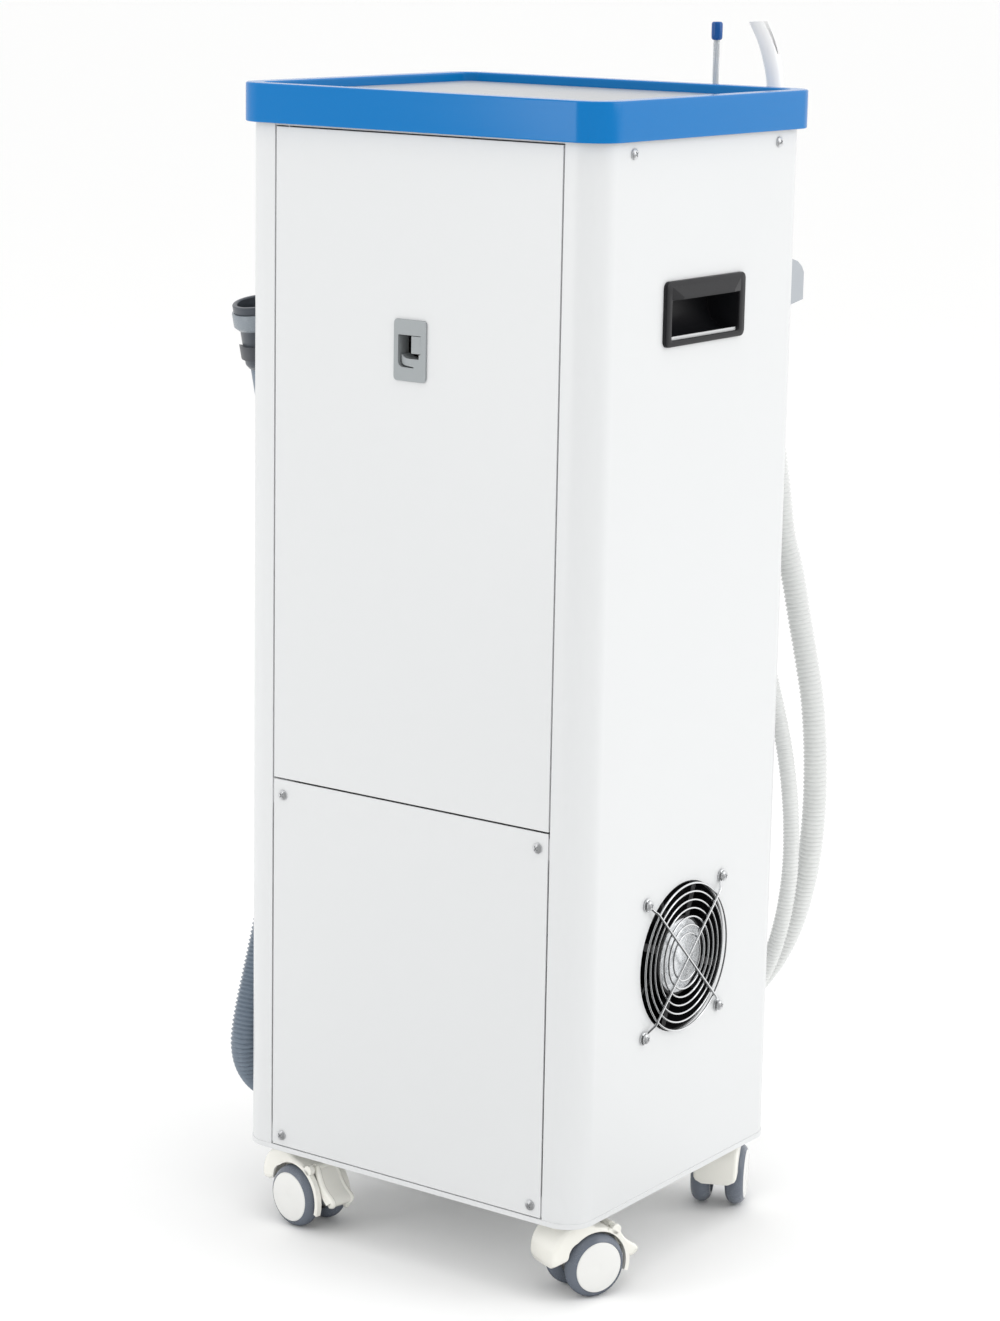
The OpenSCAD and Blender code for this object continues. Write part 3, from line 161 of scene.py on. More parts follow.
def solid(name, sheets, material, stands_for=(), body="cabinet", sharp=35, rounding=0):
    """Joins closed sheets into one piece that rides on a body: each is a grid of points that wraps round
    both ways, or points with their faces. Points that meet at a pole or a seam are merged, every face is
    turned outwards, and a rounding in millimetres softens the edges."""
    points, faces, count = [], [], 0
    for sheet in sheets:
        if isinstance(sheet, np.ndarray):
            sheet = sheet.reshape(-1, 3), grid_faces(*sheet.shape[:2]).tolist()
        points.append(sheet[0])
        faces += [[corner + count for corner in face] for face in sheet[1]]
        count += len(sheet[0])
    mesh = bpy.data.meshes.new(name)
    mesh.from_pydata(np.vstack(points).tolist(), [], faces)
    work = bmesh.new()
    work.from_mesh(mesh)
    bmesh.ops.remove_doubles(work, verts=work.verts, dist=1e-6)
    if rounding:
        bmesh.ops.dissolve_limit(work, angle_limit=math.radians(0.5), verts=work.verts, edges=work.edges)
    bmesh.ops.recalc_face_normals(work, faces=work.faces)
    work.to_mesh(mesh)
    work.free()
    piece = placed(name, mesh, material, stands_for, body, sharp)
    if rounding:
        soft_edges(piece, rounding)
    return piece


def soft_edges(piece, rounding, segments=3):
    """Rounds off every edge of a piece sharper than thirty degrees by that many millimetres."""
    soften = piece.modifiers.new("soft edges", "BEVEL")
    soften.width = rounding * mm
    soften.segments = segments
    soften.limit_method = "ANGLE"
    soften.angle_limit = math.radians(30)
    soften.harden_normals = True


def placed(name, mesh, material, stands_for, body, sharp):
    """A mesh as a smooth-shaded piece on its body, in its material's slot, with edges over the sharp
    angle kept crisp."""
    mesh.shade_smooth()
    mesh.set_sharp_from_angle(angle=math.radians(sharp))
    mesh.materials.clear()
    mesh.materials.append(material)
    piece = in_scene(name, mesh)
    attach(piece, body)
    if stands_for:
        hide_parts(*stands_for)
    return piece


def node(tree, kind, feeds=None, **settings):
    """A new shader node. A feed is a number or colour for a socket, or another node's socket to link."""
    made = tree.nodes.new("ShaderNode" + kind)
    for key, value in settings.items():
        setattr(made, key, value)
    for key, value in (feeds or {}).items():
        if isinstance(value, bpy.types.NodeSocket):
            tree.links.new(value, made.inputs[key])
        else:
            made.inputs[key].default_value = value
    return made


grain_tree = bpy.data.node_groups.new("fine grain", "ShaderNodeTree")
for side, labels in (("INPUT", ("Color", "Mottle", "Patches", "Grain", "Roughness", "Spread")),
                     ("OUTPUT", ("Color", "Roughness", "Height"))):
    for label in labels:
        kind = "NodeSocketColor" if label == "Color" else "NodeSocketFloat"
        grain_tree.interface.new_socket(label, in_out=side, socket_type=kind)
grain_in = grain_tree.nodes.new("NodeGroupInput").outputs
grain_out = grain_tree.nodes.new("NodeGroupOutput").inputs
grain_place = node(grain_tree, "TexCoord").outputs["Object"]
patches = node(grain_tree, "TexNoise", {"Vector": grain_place, "Scale": grain_in["Patches"], "Detail": 3.0})
grains = node(grain_tree, "TexNoise", {"Vector": grain_place, "Scale": grain_in["Grain"], "Detail": 2.0})
patch_sign = node(grain_tree, "Math", {0: patches.outputs["Fac"], 1: 0.5}, operation="SUBTRACT")
patch_shift = node(
    grain_tree, "Math", {0: patch_sign.outputs[0], 1: grain_in["Mottle"], 2: 1.0}, operation="MULTIPLY_ADD")
tinted = node(grain_tree, "HueSaturation", {"Color": grain_in["Color"], "Value": patch_shift.outputs[0]})
grain_sign = node(grain_tree, "Math", {0: grains.outputs["Fac"], 1: 0.5}, operation="SUBTRACT")
rough_shift = node(grain_tree, "Math", {0: patch_sign.outputs[0], 1: grain_sign.outputs[0]}, operation="ADD")
rough = node(grain_tree, "Math", {0: rough_shift.outputs[0], 1: grain_in["Spread"], 2: grain_in["Roughness"]},
             operation="MULTIPLY_ADD")
grain_tree.links.new(tinted.outputs["Color"], grain_out["Color"])
grain_tree.links.new(rough.outputs[0], grain_out["Roughness"])
grain_tree.links.new(grains.outputs["Fac"], grain_out["Height"])


def finish(name, color, roughness, slot=None, mottle=0.04, patches=60, grain=1500, spread=0.1, depth=0.01,
           **shader):
    """A Principled material on the fine grain group; the slot is not used.
    Patches and grain are counts per metre, depth is the grain's height in millimetres, and the rest goes
    to the shader's own sockets."""
    material = bpy.data.materials.new(name)
    material.use_nodes = True
    tree = material.node_tree
    skin = tree.nodes["Principled BSDF"]
    grained = tree.nodes.new("ShaderNodeGroup")
    grained.node_tree = grain_tree
    values = {"Color": (*color, 1), "Mottle": mottle, "Patches": patches, "Grain": grain,
              "Roughness": roughness, "Spread": spread}
    for label, value in values.items():
        grained.inputs[label].default_value = value
    bump = node(tree, "Bump", {"Height": grained.outputs["Height"], "Distance": depth * mm})
    tree.links.new(grained.outputs["Color"], skin.inputs["Base Color"])
    tree.links.new(grained.outputs["Roughness"], skin.inputs["Roughness"])
    tree.links.new(bump.outputs["Normal"], skin.inputs["Normal"])
    for label, value in shader.items():
        skin.inputs[label.replace("_", " ")].default_value = value
    return material


def ribbed_hose(name, node_name, route, diameter, bore, pitch, sides, across, material):
    """A hose along a route: the radius dips by 7 % of the diameter in a raised cosine between ribs, runs
    plain for one diameter at each end, and turns in to the bore. Returns it with its centre line."""
    line = smooth_run(cabinet_mm(route), 60)
    total = travelled(line)[-1]
    play, edge = 0.15 * mm, 0.5 * mm
    radius, cuff = diameter / 2 - play, diameter
    ribs = round((total - 2 * cuff) / pitch)
    part = np.arange(4 * ribs + 1) / 4
    cuff_run = np.array([0, 0.6 * mm, 0.7 * cuff])
    outer_run = np.concatenate([cuff_run, cuff + part * (total - 2 * cuff) / ribs, total - cuff_run[::-1]])
    dip = 0.035 * diameter * (1 - np.cos(2 * np.pi * part))
    cuff_radius = np.array([radius - edge, radius, radius])
    outer_radius = np.concatenate([cuff_radius, radius - dip, cuff_radius[::-1]])
    inner_run = np.linspace(total, 0, round(total / (6 * mm)))
    inner_radius = np.full(len(inner_run), bore / 2)
    centres, ways = stations(line, np.concatenate([outer_run, inner_run]))
    grid = rings_round(centres, ways, np.concatenate([outer_radius, inner_radius]), across, sides)
    return solid(name, [grid], material, [node_name], sharp=60), line[::6]


big_route = [
    [-112, -170, 696], [-112, -170, 676], [-112, -170, 668], [-112.8, -173, 650], [-115, -180, 627],
    [-119, -186, 590], [-124, -190, 546], [-131, -194, 514], [-137, -197, 480], [-144, -199, 445],
    [-151, -200, 408], [-155, -201, 360], [-154.5, -202, 309], [-149, -202, 261], [-137, -201, 217],
    [-118, -200, 180], [-90, -199, 148], [-52, -198, 124], [-9, -197, 115], [34, -196, 122],
    [72, -195, 144], [101, -194, 178], [121, -193, 218], [133, -192, 265], [137, -191, 315],
    [137, -190, 365], [133, -189, 415], [127, -188, 460], [120, -187, 505], [115, -186, 545],
    [112, -185, 576], [112, -185, 584], [112, -185, 604]]
small_route = [
    [-59, -170, 662], [-59, -170, 648], [-59, -170, 642], [-62, -170, 620], [-71, -171, 585],
    [-84, -172, 550], [-98, -173, 510], [-113, -173, 470], [-128, -173, 425], [-142, -173, 375],
    [-150, -173, 325], [-152, -172, 275], [-146, -171, 228], [-133, -170, 188], [-110, -169, 153],
    [-76, -168, 127], [-36, -168, 114], [4, -168, 118], [38, -168, 140], [61, -168, 172],
    [75, -168, 212], [83, -168, 260], [86, -168, 315], [85, -168, 370], [80, -168, 425],
    [73, -169, 480], [66, -170, 530], [61, -170, 570], [59, -170, 594], [59, -170, 602], [59, -170, 616]]
hose_grey = finish("hose grey", (0.70, 0.71, 0.70), 0.34, mottle=0.10, patches=45, grain=2500)
big_hose, big_line = ribbed_hose(
    "big_hose", "hve_hose", big_route, 20 * mm, 15.6 * mm, 3.6 * mm, 24, [0, 1, 0], hose_grey)
small_hose, small_line = ribbed_hose(
    "small_hose", "se_hose", small_route, 14 * mm, 10.6 * mm, 3.2 * mm, 20, [0, 1, 0], hose_grey)

# Drain hose and its parked connector
# A stouter blue-grey ribbed hose runs from an elbow low on the right wall, up behind the corner, to
# a moulded connector with a ring nut, which a spring clip holds. Its collar and nut are turned.
drain_route = [
    [177, 22, 88], [177, 47, 88], [177, 54, 88], [177, 69, 89], [177, 84, 93], [177, 97, 101],
    [177, 107, 111], [177, 114, 123], [177, 117, 138], [177, 115, 154], [177, 110, 172], [177, 101, 198],
    [177, 88, 237], [177, 74, 282], [177, 60, 335], [177, 50, 390], [177, 44, 445], [177, 44, 500],
    [178, 50, 550], [179.8, 64, 595], [180.9, 76, 628], [181.3, 80.3, 645.7], [181.5, 82.5, 655.5],
    [182, 88, 680]]
hose_slate = finish("hose slate", (0.17, 0.21, 0.26), 0.32, mottle=0.10, patches=40, grain=2500)
drain_hose_piece, drain_line = ribbed_hose(
    "ribbed_drain_hose", "drain_hose", drain_route, 25 * mm, 20 * mm, 3.4 * mm, 28, [1, 0, 0], hose_slate)


def turned(profile, foot, axis, steps):
    """A closed outline of (distance along, radius) pairs in millimetres, turned about an axis at its foot:
    each point becomes foot + distance * axis + radius * (cosine * u + sine * v)."""
    axis = np.array(Vector(axis).normalized())
    u = np.cross(axis, [0, 0, 1] if abs(axis[2]) < 0.9 else [1, 0, 0])
    u /= np.linalg.norm(u)
    v = np.cross(axis, u)
    angle = 2 * np.pi * np.arange(steps) / steps
    spoke = np.cos(angle)[:, None] * u + np.sin(angle)[:, None] * v
    along, radius = np.array(profile, float).T * mm
    return np.array(foot) + along[None, :, None] * axis + radius[None, :, None] * spoke[:, None, :]


connector_foot = cabinet_mm([182, 88, 680])
connector_way = (0.5, 5.5, 24.5)
connector_grey = finish(
    "connector grey", (0.075, 0.085, 0.10), 0.33, slot="dark_grey", mottle=0.08, patches=14, grain=1800)
nut_grey = finish("nut grey", (0.25, 0.28, 0.31), 0.26, slot="dark_grey", mottle=0.06, patches=14, grain=1800)
connector_outline = [
    (0, 9), (0, 13.2), (0.5, 13.7), (2.6, 15.0), (3.2, 15.5), (5, 15.7), (30, 15.7), (31, 15.9), (32, 16.6),
    (45, 16.7), (46, 16.9), (46, 18.2), (46.6, 18.7), (51.2, 18.7), (52, 18.0), (52, 15.9), (51.2, 15),
    (30, 15), (30, 9)]
connector = solid("hose_connector", [turned(connector_outline, connector_foot, connector_way, 64)],
                  connector_grey, ["drain_connector"])
nut_outline = [(32.1, 16.8), (32.1, 17.6), (34, 19.4), (34.6, 19.9), (35.4, 20), (44.6, 20), (45.4, 19.6),
               (45.6, 19), (45.6, 16.8)]
nut = solid("connector_ring_nut", [turned(nut_outline, connector_foot, connector_way, 64)], nut_grey,
            ["connector_nut"])

# Floor and studio light
# A wide pale floor under the unit, a white surround with the dark end of the room before the door side
# corner, a tall strip light beside the door, and soft boxes over the unit and before its left side.
room_way = Vector((to_eye.x, to_eye.y, 0)).normalized()


def dark_end(tree, place):
    """In mirrored light only, what lies towards the room's dark end keeps an eighth of its brightness. The
    way to it is compared with the room's own way: one at right angles or behind keeps all."""
    flat = node(tree, "VectorMath", {0: place, 1: (1, 1, 0)}, operation="MULTIPLY")
    way = node(tree, "VectorMath", {0: flat.outputs["Vector"]}, operation="NORMALIZE")
    facing = node(tree, "VectorMath", {0: way.outputs["Vector"], 1: tuple(room_way)}, operation="DOT_PRODUCT")
    gloom = node(tree, "MapRange", {"Value": facing.outputs["Value"], "From Min": -0.1, "From Max": 0.5,
                                    "To Min": 1.0, "To Max": 0.12}, interpolation_type="SMOOTHSTEP")
    mirrored = node(tree, "LightPath").outputs["Is Glossy Ray"]
    return node(tree, "MapRange", {"Value": mirrored, "To Min": 1.0, "To Max": gloom.outputs["Result"]})


floor_reach = 120
floor_corners = [(x * floor_reach, y * floor_reach, 0) for x, y in ((-1, -1), (1, -1), (1, 1), (-1, 1))]
floor_mesh = bpy.data.meshes.new("floor")
floor_mesh.from_pydata(floor_corners, [], [(0, 1, 2, 3)])
paper = finish("studio floor", (0.94, 0.94, 0.935), 0.75, mottle=0.004, patches=3, grain=400, depth=0.0,
               Specular_IOR_Level=0.1)
paper_tree = paper.node_tree
paper_skin = paper_tree.nodes["Principled BSDF"]
# Painted shade: the floor's colour is darkened towards the room's dark end in mirrored light only, so the
# floor looks darker in reflections.
paper_shade = dark_end(paper_tree, node(paper_tree, "TexCoord").outputs["Object"])
paper_grained = paper_skin.inputs["Base Color"].links[0].from_socket
paper_mirror_shade = node(
    paper_tree, "HueSaturation", {"Color": paper_grained, "Value": paper_shade.outputs["Result"]})
paper_tree.links.new(paper_mirror_shade.outputs["Color"], paper_skin.inputs["Base Color"])
floor_mesh.materials.append(paper)
floor = in_scene("floor", floor_mesh)

world = bpy.data.worlds.new("studio")
bpy.context.scene.world = world
world.use_nodes = True
sky = world.node_tree
surround = sky.nodes["Background"]
gaze = node(sky, "TexCoord").outputs["Generated"]
leftness = node(sky, "VectorMath", {0: gaze, 1: tuple(-level)}, operation="DOT_PRODUCT")
shade = node(sky, "MapRange", {"Value": leftness.outputs["Value"], "From Min": -0.9, "From Max": 0.9,
                               "To Min": 1.16, "To Max": 0.96})
darkened = dark_end(sky, gaze)
lit = node(sky, "Math", {0: shade.outputs["Result"], 1: darkened.outputs["Result"]}, operation="MULTIPLY")
sky.links.new(lit.outputs[0], surround.inputs["Strength"])
surround.inputs["Color"].default_value = (1, 1, 1, 1)


def soft_box(name, place, aim, width, height, power):
    """A soft box of that width and height that stands at a place and faces a point."""
    data = bpy.data.lights.new(name, "AREA")
    data.shape = "RECTANGLE"
    data.size = width
    data.size_y = height
    data.energy = power
    light = in_scene(name, data)
    way = Vector(aim) - Vector(place)
    light.matrix_world = Matrix.Translation(place) @ way.to_track_quat("-Z", "Y").to_matrix().to_4x4()


soft_box("fan side light", (-2.6, -0.9, 1.7), (0, 0, 0.5), 1.6, 1.6, 15)
soft_box("top light", (-0.4, 0.8, 5.0), (0, 0, 0.5), 3.0, 3.0, 24)
soft_box("door side strip", (0.80, 1.75, 1.05), (0, 0.1, 0.6), 0.28, 1.7, 5)
bpy.context.scene.view_settings.view_transform = "Standard"
bpy.context.scene.view_settings.look = "None"

# Base plate, cabinet sheet, service panel and door
# Folded steel sheet with a smooth white powder coat. The sheet wraps three sides and two rounded back
# posts; the panel is screwed on, and the door hangs between the posts.


def trimmed(node_name, name, material, rounding, segments=3):
    """A copy of a CAD piece with its corners merged, its flat faces joined and every edge sharper than
    thirty degrees rounded off by that many millimetres."""
    source = frame["nodes"][node_name]
    work = bmesh.new()
    work.from_mesh(source.data)
    bmesh.ops.remove_doubles(work, verts=work.verts, dist=2e-6)
    bmesh.ops.dissolve_limit(work, angle_limit=math.radians(0.5), verts=work.verts, edges=work.edges)
    mesh = bpy.data.meshes.new(name)
    faces = [[v.index for v in f.verts] for f in work.faces]
    mesh.from_pydata([tuple(v.co) for v in work.verts], [], faces)
    work.free()
    soft_edges(placed(name, mesh, material, [node_name], source["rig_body"], 30), rounding, segments)


white_paint = finish(
    "white paint", (0.695, 0.705, 0.71), 0.30, mottle=0.012, patches=6, grain=900, spread=0.05, depth=0.004)
for node_name, name, rounding in (
        ("base_plate", "base_sheet", 0.7), ("cabinet_shell", "cabinet_sheet", 0.3),
        ("service_panel", "screwed_panel", 0.5), ("door_panel", "folded_door", 0.8)):
    trimmed(node_name, name, white_paint, rounding)

# Tray
# A blue moulded band with rounded edges goes round the top, and a pale plastic floor lies inside it on a
# ledge. Four lugs reach down into the cabinet for the side screws.


def carried_round(profile, half_width, half_depth, corner, steps):
    """A closed outline of (out, up) pairs in millimetres carried round a rectangle with round corners:
    each point lies `out` from the corner's centre along the spoke that turns there, and `up` above it."""
    angle = np.concatenate([np.linspace(q, q + 1, steps + 1) * np.pi / 2 for q in range(4)])
    quarter = np.repeat(np.arange(4), steps + 1)
    side_x = np.where((quarter == 0) | (quarter == 3), 1, -1) * (half_width - corner)
    side_y = np.where(quarter < 2, 1, -1) * (half_depth - corner)
    out, up = np.array(profile, float).T * mm
    grid = np.empty((len(angle), len(out), 3))
    grid[..., 0] = side_x[:, None] + np.cos(angle)[:, None] * out
    grid[..., 1] = side_y[:, None] + np.sin(angle)[:, None] * out
    grid[..., 2] = up[None, :]
    return grid


def arc(centre, radius, start, stop, steps):
    """Points of an arc between two angles in degrees."""
    angle = np.radians(np.linspace(start, stop, steps))
    return [(centre[0] + radius * math.cos(a), centre[1] + radius * math.sin(a)) for a in angle]


def rounded_block(centre, half, edge):
    """A block with round edges: over an edge its outline draws in by edge * (1 - cosine) while it rises by
    edge * sine, and at both faces it shrinks to their middle."""
    lean = np.radians([-90, -90, -45, 0, 0, 45, 90, 90])
    rise = np.repeat([-1, 1], 4) * (half[2] - edge) + edge * np.sin(lean)
    profile = np.column_stack([edge * np.cos(lean), rise])
    grid = carried_round(profile, half[0] * mm, half[1] * mm, edge * mm, 3)
    grid[:, [0, -1], :2] = 0
    return grid + np.array(centre)


band_low, band_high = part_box("tray_rim")
band_corner, band_width, band_rise, band_edge = 25, 14, 29, 1.5
inner = band_corner - band_width
ledge_low, ledge_high, ledge_reach, skirt = 16, 19, 6, 2.5
skirt_inside = band_corner - 3.2
band_outline = [
    *arc((band_corner - 1, 1), 1, -90, 0, 6),
    *arc((band_corner - band_edge, band_rise - band_edge), band_edge, 0, 90, 9),
    *arc((inner + band_edge, band_rise - band_edge), band_edge, 90, 180, 9),
    (inner, ledge_high), (inner - ledge_reach, ledge_high), (inner - ledge_reach, ledge_low),
    (inner, ledge_low), (inner, 0), (inner + skirt, 0), (inner + skirt, ledge_low),
    (skirt_inside, ledge_low), (skirt_inside, 0)]
band_blue = finish("band blue", (0.003, 0.168, 0.47), 0.20, slot="blue_band", mottle=0.02, patches=8,
                   spread=0.05, depth=0.002, Specular_IOR_Level=0.30)
band_grid = carried_round(band_outline, (band_high.x - band_low.x) / 2, (band_high.y - band_low.y) / 2,
                          band_corner * mm, 16)
band_grid += cabinet_mm([0, 0, band_high.z / mm - band_rise])
half_cabinet, sheet_thick = (cabinet_high.x - cabinet_low.x) / 2 / mm, 1.5
lug_half, lug_edge, lug_y, lug_z = (4.5, 8, 17.5), 1.2, 98.9, 870
lug_x = half_cabinet - sheet_thick - lug_half[0]
lugs = [rounded_block(cabinet_mm([x * lug_x, y * lug_y, lug_z]), lug_half, lug_edge)
        for x in (-1, 1) for y in (-1, 1)]
solid("blue_band", [band_grid, *lugs], band_blue, ["tray_rim"], sharp=30)

floor_grey = finish("tray floor grey", (0.40, 0.41, 0.42), 0.30, slot="grey_floor", mottle=0.03, patches=30,
                    grain=1400, depth=0.015)
trimmed("tray_floor", "tray_bottom", floor_grey, 0.4)

# Casters
# Four twin-wheel swivel casters: a zinc stem, a glossy cream hood with a web between the wheels, a steel
# axle, and grey rubber tyres on white discs. The two at the back have a brake pedal.
zinc = finish(
    "zinc steel", (0.55, 0.56, 0.57), 0.30, mottle=0.10, patches=90, grain=900, depth=0.004, Metallic=1.0)
cream = finish(
    "cream plastic", (0.86, 0.85, 0.79), 0.20, mottle=0.02, patches=30, depth=0.003, Coat_Weight=0.2)
tyre_grey = finish(
    "tyre grey", (0.145, 0.165, 0.20), 0.26, slot="wheel_grey", mottle=0.08, grain=1600, depth=0.006)
disc_white = finish("disc white", (0.80, 0.80, 0.78), 0.22, slot="wheel_grey", mottle=0.03, depth=0.004)
trimmed("caster_stems", "swivel_stems", zinc, 0.3)
wheel_radius, wheel_width, disc_radius = 25, 16, 20
round_radius = wheel_width / 2
tyre_middle = wheel_radius - round_radius
lip_angle = math.degrees(math.acos((disc_radius - tyre_middle) / round_radius))
tyre_round = arc((tyre_middle, round_radius), round_radius, lip_angle, -90, 22)
tyre_outline = [*[(along, radius) for radius, along in tyre_round], (8, 17), (12, 17.2), (12, 19.9)]
disc_outline = [(15.5, 0), (15.9, 2), (15.9, 18.9), (15.7, 19.4), (15.2, 19.8), (12.2, 19.8), (12.2, 17.4),
                (8.2, 17), (8.2, 5.5), (0.2, 5.5), (0.2, 2.6), (13.2, 2.6), (13.2, 0)]
for joint in frame["joints"]:
    wheel = joint["child"]
    if wheel.startswith("wheel_"):
        outward = np.array(joint["axis"]) * (-1 if wheel.endswith("out") else 1)
        inner_face = np.array(joint["pos_m"]) - outward * wheel_width / 2 * mm
        solid(wheel + "_tyre", [turned(tyre_outline, inner_face, outward, 72)], tyre_grey, [wheel], wheel)
        solid(wheel + "_disc", [turned(disc_outline, inner_face, outward, 64)], disc_white, (), wheel)


def prism(outline, side_low, side_high):
    """An outline of (along, up) points carried straight across from one side to the other, and closed
    by fans round its middle: points of (along, across, up)."""
    ring = np.array(outline, float)
    middle = np.broadcast_to(ring.mean(axis=0), ring.shape)
    rows = [(middle, side_low), (ring, side_low), (ring, side_high), (middle, side_high)]
    return np.stack([np.insert(row, 1, side, axis=1) for row, side in rows])


def inward_from(path):
    """Unit vectors square to a path of (along, up) points, to its right as it runs."""
    step = np.gradient(path, axis=0)
    step /= np.linalg.norm(step, axis=1, keepdims=True)
    return np.stack([step[:, 1], -step[:, 0]], axis=1)


def shell_over(path, half_width, depth, thickness, shoulder, hollow=0):
    """A moulded shell bent along a path of (along, up) points. Across the path its outside goes up a side
    wall, round a shoulder, over the top, which is hollowed by a little, and down the other wall; its inside
    is the same less the thickness. At each end the wall closes on its own middle line."""
    path = np.array(path, float)
    inward = inward_from(path)[:, None, :]
    half_width, depth = (np.broadcast_to(value, len(path))[:, None] for value in (half_width, depth))
    turn_over = np.radians([0, 22.5, 45, 67.5, 90])
    skins = []
    for inset, bend in ((0, shoulder), (thickness, max(shoulder - thickness, 0.4))):
        reach = half_width - inset - bend
        side = np.hstack([reach + bend, reach + bend * np.cos(turn_over), reach - 0.5, reach - 1.6])
        drop = np.hstack([depth, inset + bend * (1 - np.sin(turn_over)) + 0 * reach,
                          np.full_like(reach, inset), np.full_like(reach, inset + hollow)])
        skins.append(np.stack([np.hstack([-side, side[:, ::-1]]), np.hstack([drop, drop[:, ::-1]])], axis=-1))
    outside, inside = skins
    ring = np.concatenate([outside, inside[:, ::-1]], axis=1)
    middle = (outside + inside) / 2
    seam = np.concatenate([middle, middle[:, ::-1]], axis=1)
    ring = np.concatenate([seam[:1], ring, seam[-1:]])
    spine = np.concatenate([path[:1], path, path[-1:]])[:, None, :]
    inward = np.concatenate([inward[:1], inward, inward[-1:]])
    flat = spine + inward * ring[..., 1:]
    grid = np.stack([flat[..., 0], ring[..., 0], flat[..., 1]], axis=-1)
    return grid.reshape(-1, 3), grid_faces(*grid.shape[:2], wrap_rows=False).tolist()


def on_caster(shapes, stem, axle_way):
    """Shapes in a caster's own millimetres (along its trail, across, up from the floor), set in the frame:
    the trail lies square to the axle on the floor plan."""
    across = np.array(axle_way)
    turned_to = np.stack([np.cross(across, [0, 0, 1]), across, [0, 0, 1]])
    foot = np.array([stem[0], stem[1], 0])
    return [foot + shape @ turned_to * mm if isinstance(shape, np.ndarray)
            else (foot + shape[0] @ turned_to * mm, shape[1]) for shape in shapes]


joint_of = {joint["name"]: joint for joint in frame["joints"]}
trail, axle_z, wheel_room, roof_radius = 18, 25, 27, 30.4
hood_half, web_half, ear_inside = 17.5, 5.5, 13
boss_low, boss_high, boss_radius = 52, 61.5, 12
pin_along, pin_up = 36, 51
front_arc = np.array(arc((4, 36), 24.5, 200, 54, 26))


def hood_shapes(braked):
    """The hood of one caster: a shell from the apron's foot over the dome and along the roof, whose side
    walls end at the room round the wheels; a web between them; and ears for the pedal if it has one."""
    path = np.vstack([front_arc, arc((trail, axle_z), roof_radius, 82, 62 if braked else 40, 6)])
    to_axle = np.array([trail, axle_z]) - path
    nearest = (to_axle * inward_from(path)).sum(axis=1)
    beyond = (to_axle**2).sum(axis=1) - wheel_room**2
    depth = np.clip(nearest - np.sqrt(np.maximum(nearest**2 - beyond, 0)), 3.3, 14)
    foot_round = 6
    drop = np.clip(33.5 - path[:, 1], 0, foot_round)
    half = np.where(path[:, 0] < 0, hood_half - foot_round + np.sqrt(foot_round**2 - drop**2), hood_half)
    web = [*arc((trail, axle_z), 11, 180, 360, 13), (26, 52.5), (-5.5, 55.5), (-5.5, 34)]
    boss = [(boss_low, 0), (boss_low, boss_radius), (boss_high, boss_radius), (boss_high, 0)]
    shapes = [shell_over(path, half, depth, 2.2, 3), prism(web, -web_half, web_half),
              turned(boss, (0, 0, 0), (0, 0, 1), 40) / mm]
    if braked:
        ear = [*arc((trail, axle_z), roof_radius, 68, -18, 16),
               *arc((trail, axle_z), wheel_room, -18, 68, 16)]
        for low, high in ((-hood_half, -ear_inside), (ear_inside, hood_half)):
            shapes.append(bent_strip(ear, low, high))
            shapes.append(prism(arc((pin_along, pin_up), 4, 0, 345, 24), low, high))
        shapes.append(prism(arc((pin_along, pin_up), 1.5, 0, 330, 12), -15.5, 15.5))
    return shapes


def bent_strip(outline, side_low, side_high):
    """A strip whose outline runs out along one edge and back along the other, carried straight across:
    its section is the rectangle between the edges and the sides."""
    edge = np.array(outline, float)
    half_count = len(edge) // 2
    outer, inner = edge[:half_count], edge[half_count:][::-1]
    corners = [(outer, side_low), (outer, side_high), (inner, side_high), (inner, side_low)]
    grid = np.stack([np.insert(line, 1, side, axis=1) for line, side in corners], axis=1)
    ends = np.broadcast_to(grid.mean(axis=1, keepdims=True), grid.shape)
    return np.concatenate([ends[:1], grid, ends[-1:]])


pedal_line = [(-2.4, 2.2), (1.4, 3.4), (4.7, 0.9), (8.4, -5.4), (12.2, -11.2), (17.4, -15.6), (22.3, -18.8),
              (24.6, -21.8), (24.0, -25.0), (20.8, -27.8), (17.0, -29.2)]
pedal_depth = [3.3, 3.4, 3.6, 4.0, 5.0, 8.0, 9.0, 6.0, 4.0, 3.3, 3.3]
pedal_half = [9.6, 10.4, 11.0, 11.8, 12.0, 12.0, 12.0, 11.8, 11.4, 10.6, 9.6]
pedal_path = smooth_run(np.array(pedal_line) + [pin_along, pin_up], 5)
knots = np.arange(len(pedal_line))
pedal_share = np.linspace(0, knots[-1], len(pedal_path))
pedal_width, pedal_drop = (np.interp(pedal_share, knots, values) for values in (pedal_half, pedal_depth))
shoe = np.array([(2.6, -7.4), (8, -15.6), (6.9, -17), (4.8, -14)]) + [pin_along, pin_up]
pedal_shapes = [shell_over(pedal_path, pedal_width, pedal_drop, 2.0, 2.4, hollow=0.9), prism(shoe, -10, 10),
                prism(arc((pin_along, pin_up), 3.8, 0, 345, 24), -9.8, 9.8)]
for corner in ("rl", "rr", "fl", "fr"):
    stem = joint_of[f"caster_{corner}_swivel"]["pos_m"]
    axle_way = joint_of[f"wheel_{corner}_out_spin"]["axis"]
    braked = corner in ("rl", "rr")
    solid("hood_" + corner, on_caster(hood_shapes(braked), stem, axle_way), cream, ["caster_hood_" + corner],
          "caster_" + corner, sharp=40, rounding=0.5)
    trimmed("caster_axle_" + corner, "axle_" + corner, zinc, 0.3)
    if braked:
        solid("pedal_piece_" + corner, on_caster(pedal_shapes, stem, axle_way), cream,
              ["brake_pedal_" + corner], "pedal_" + corner, sharp=40, rounding=0.4)

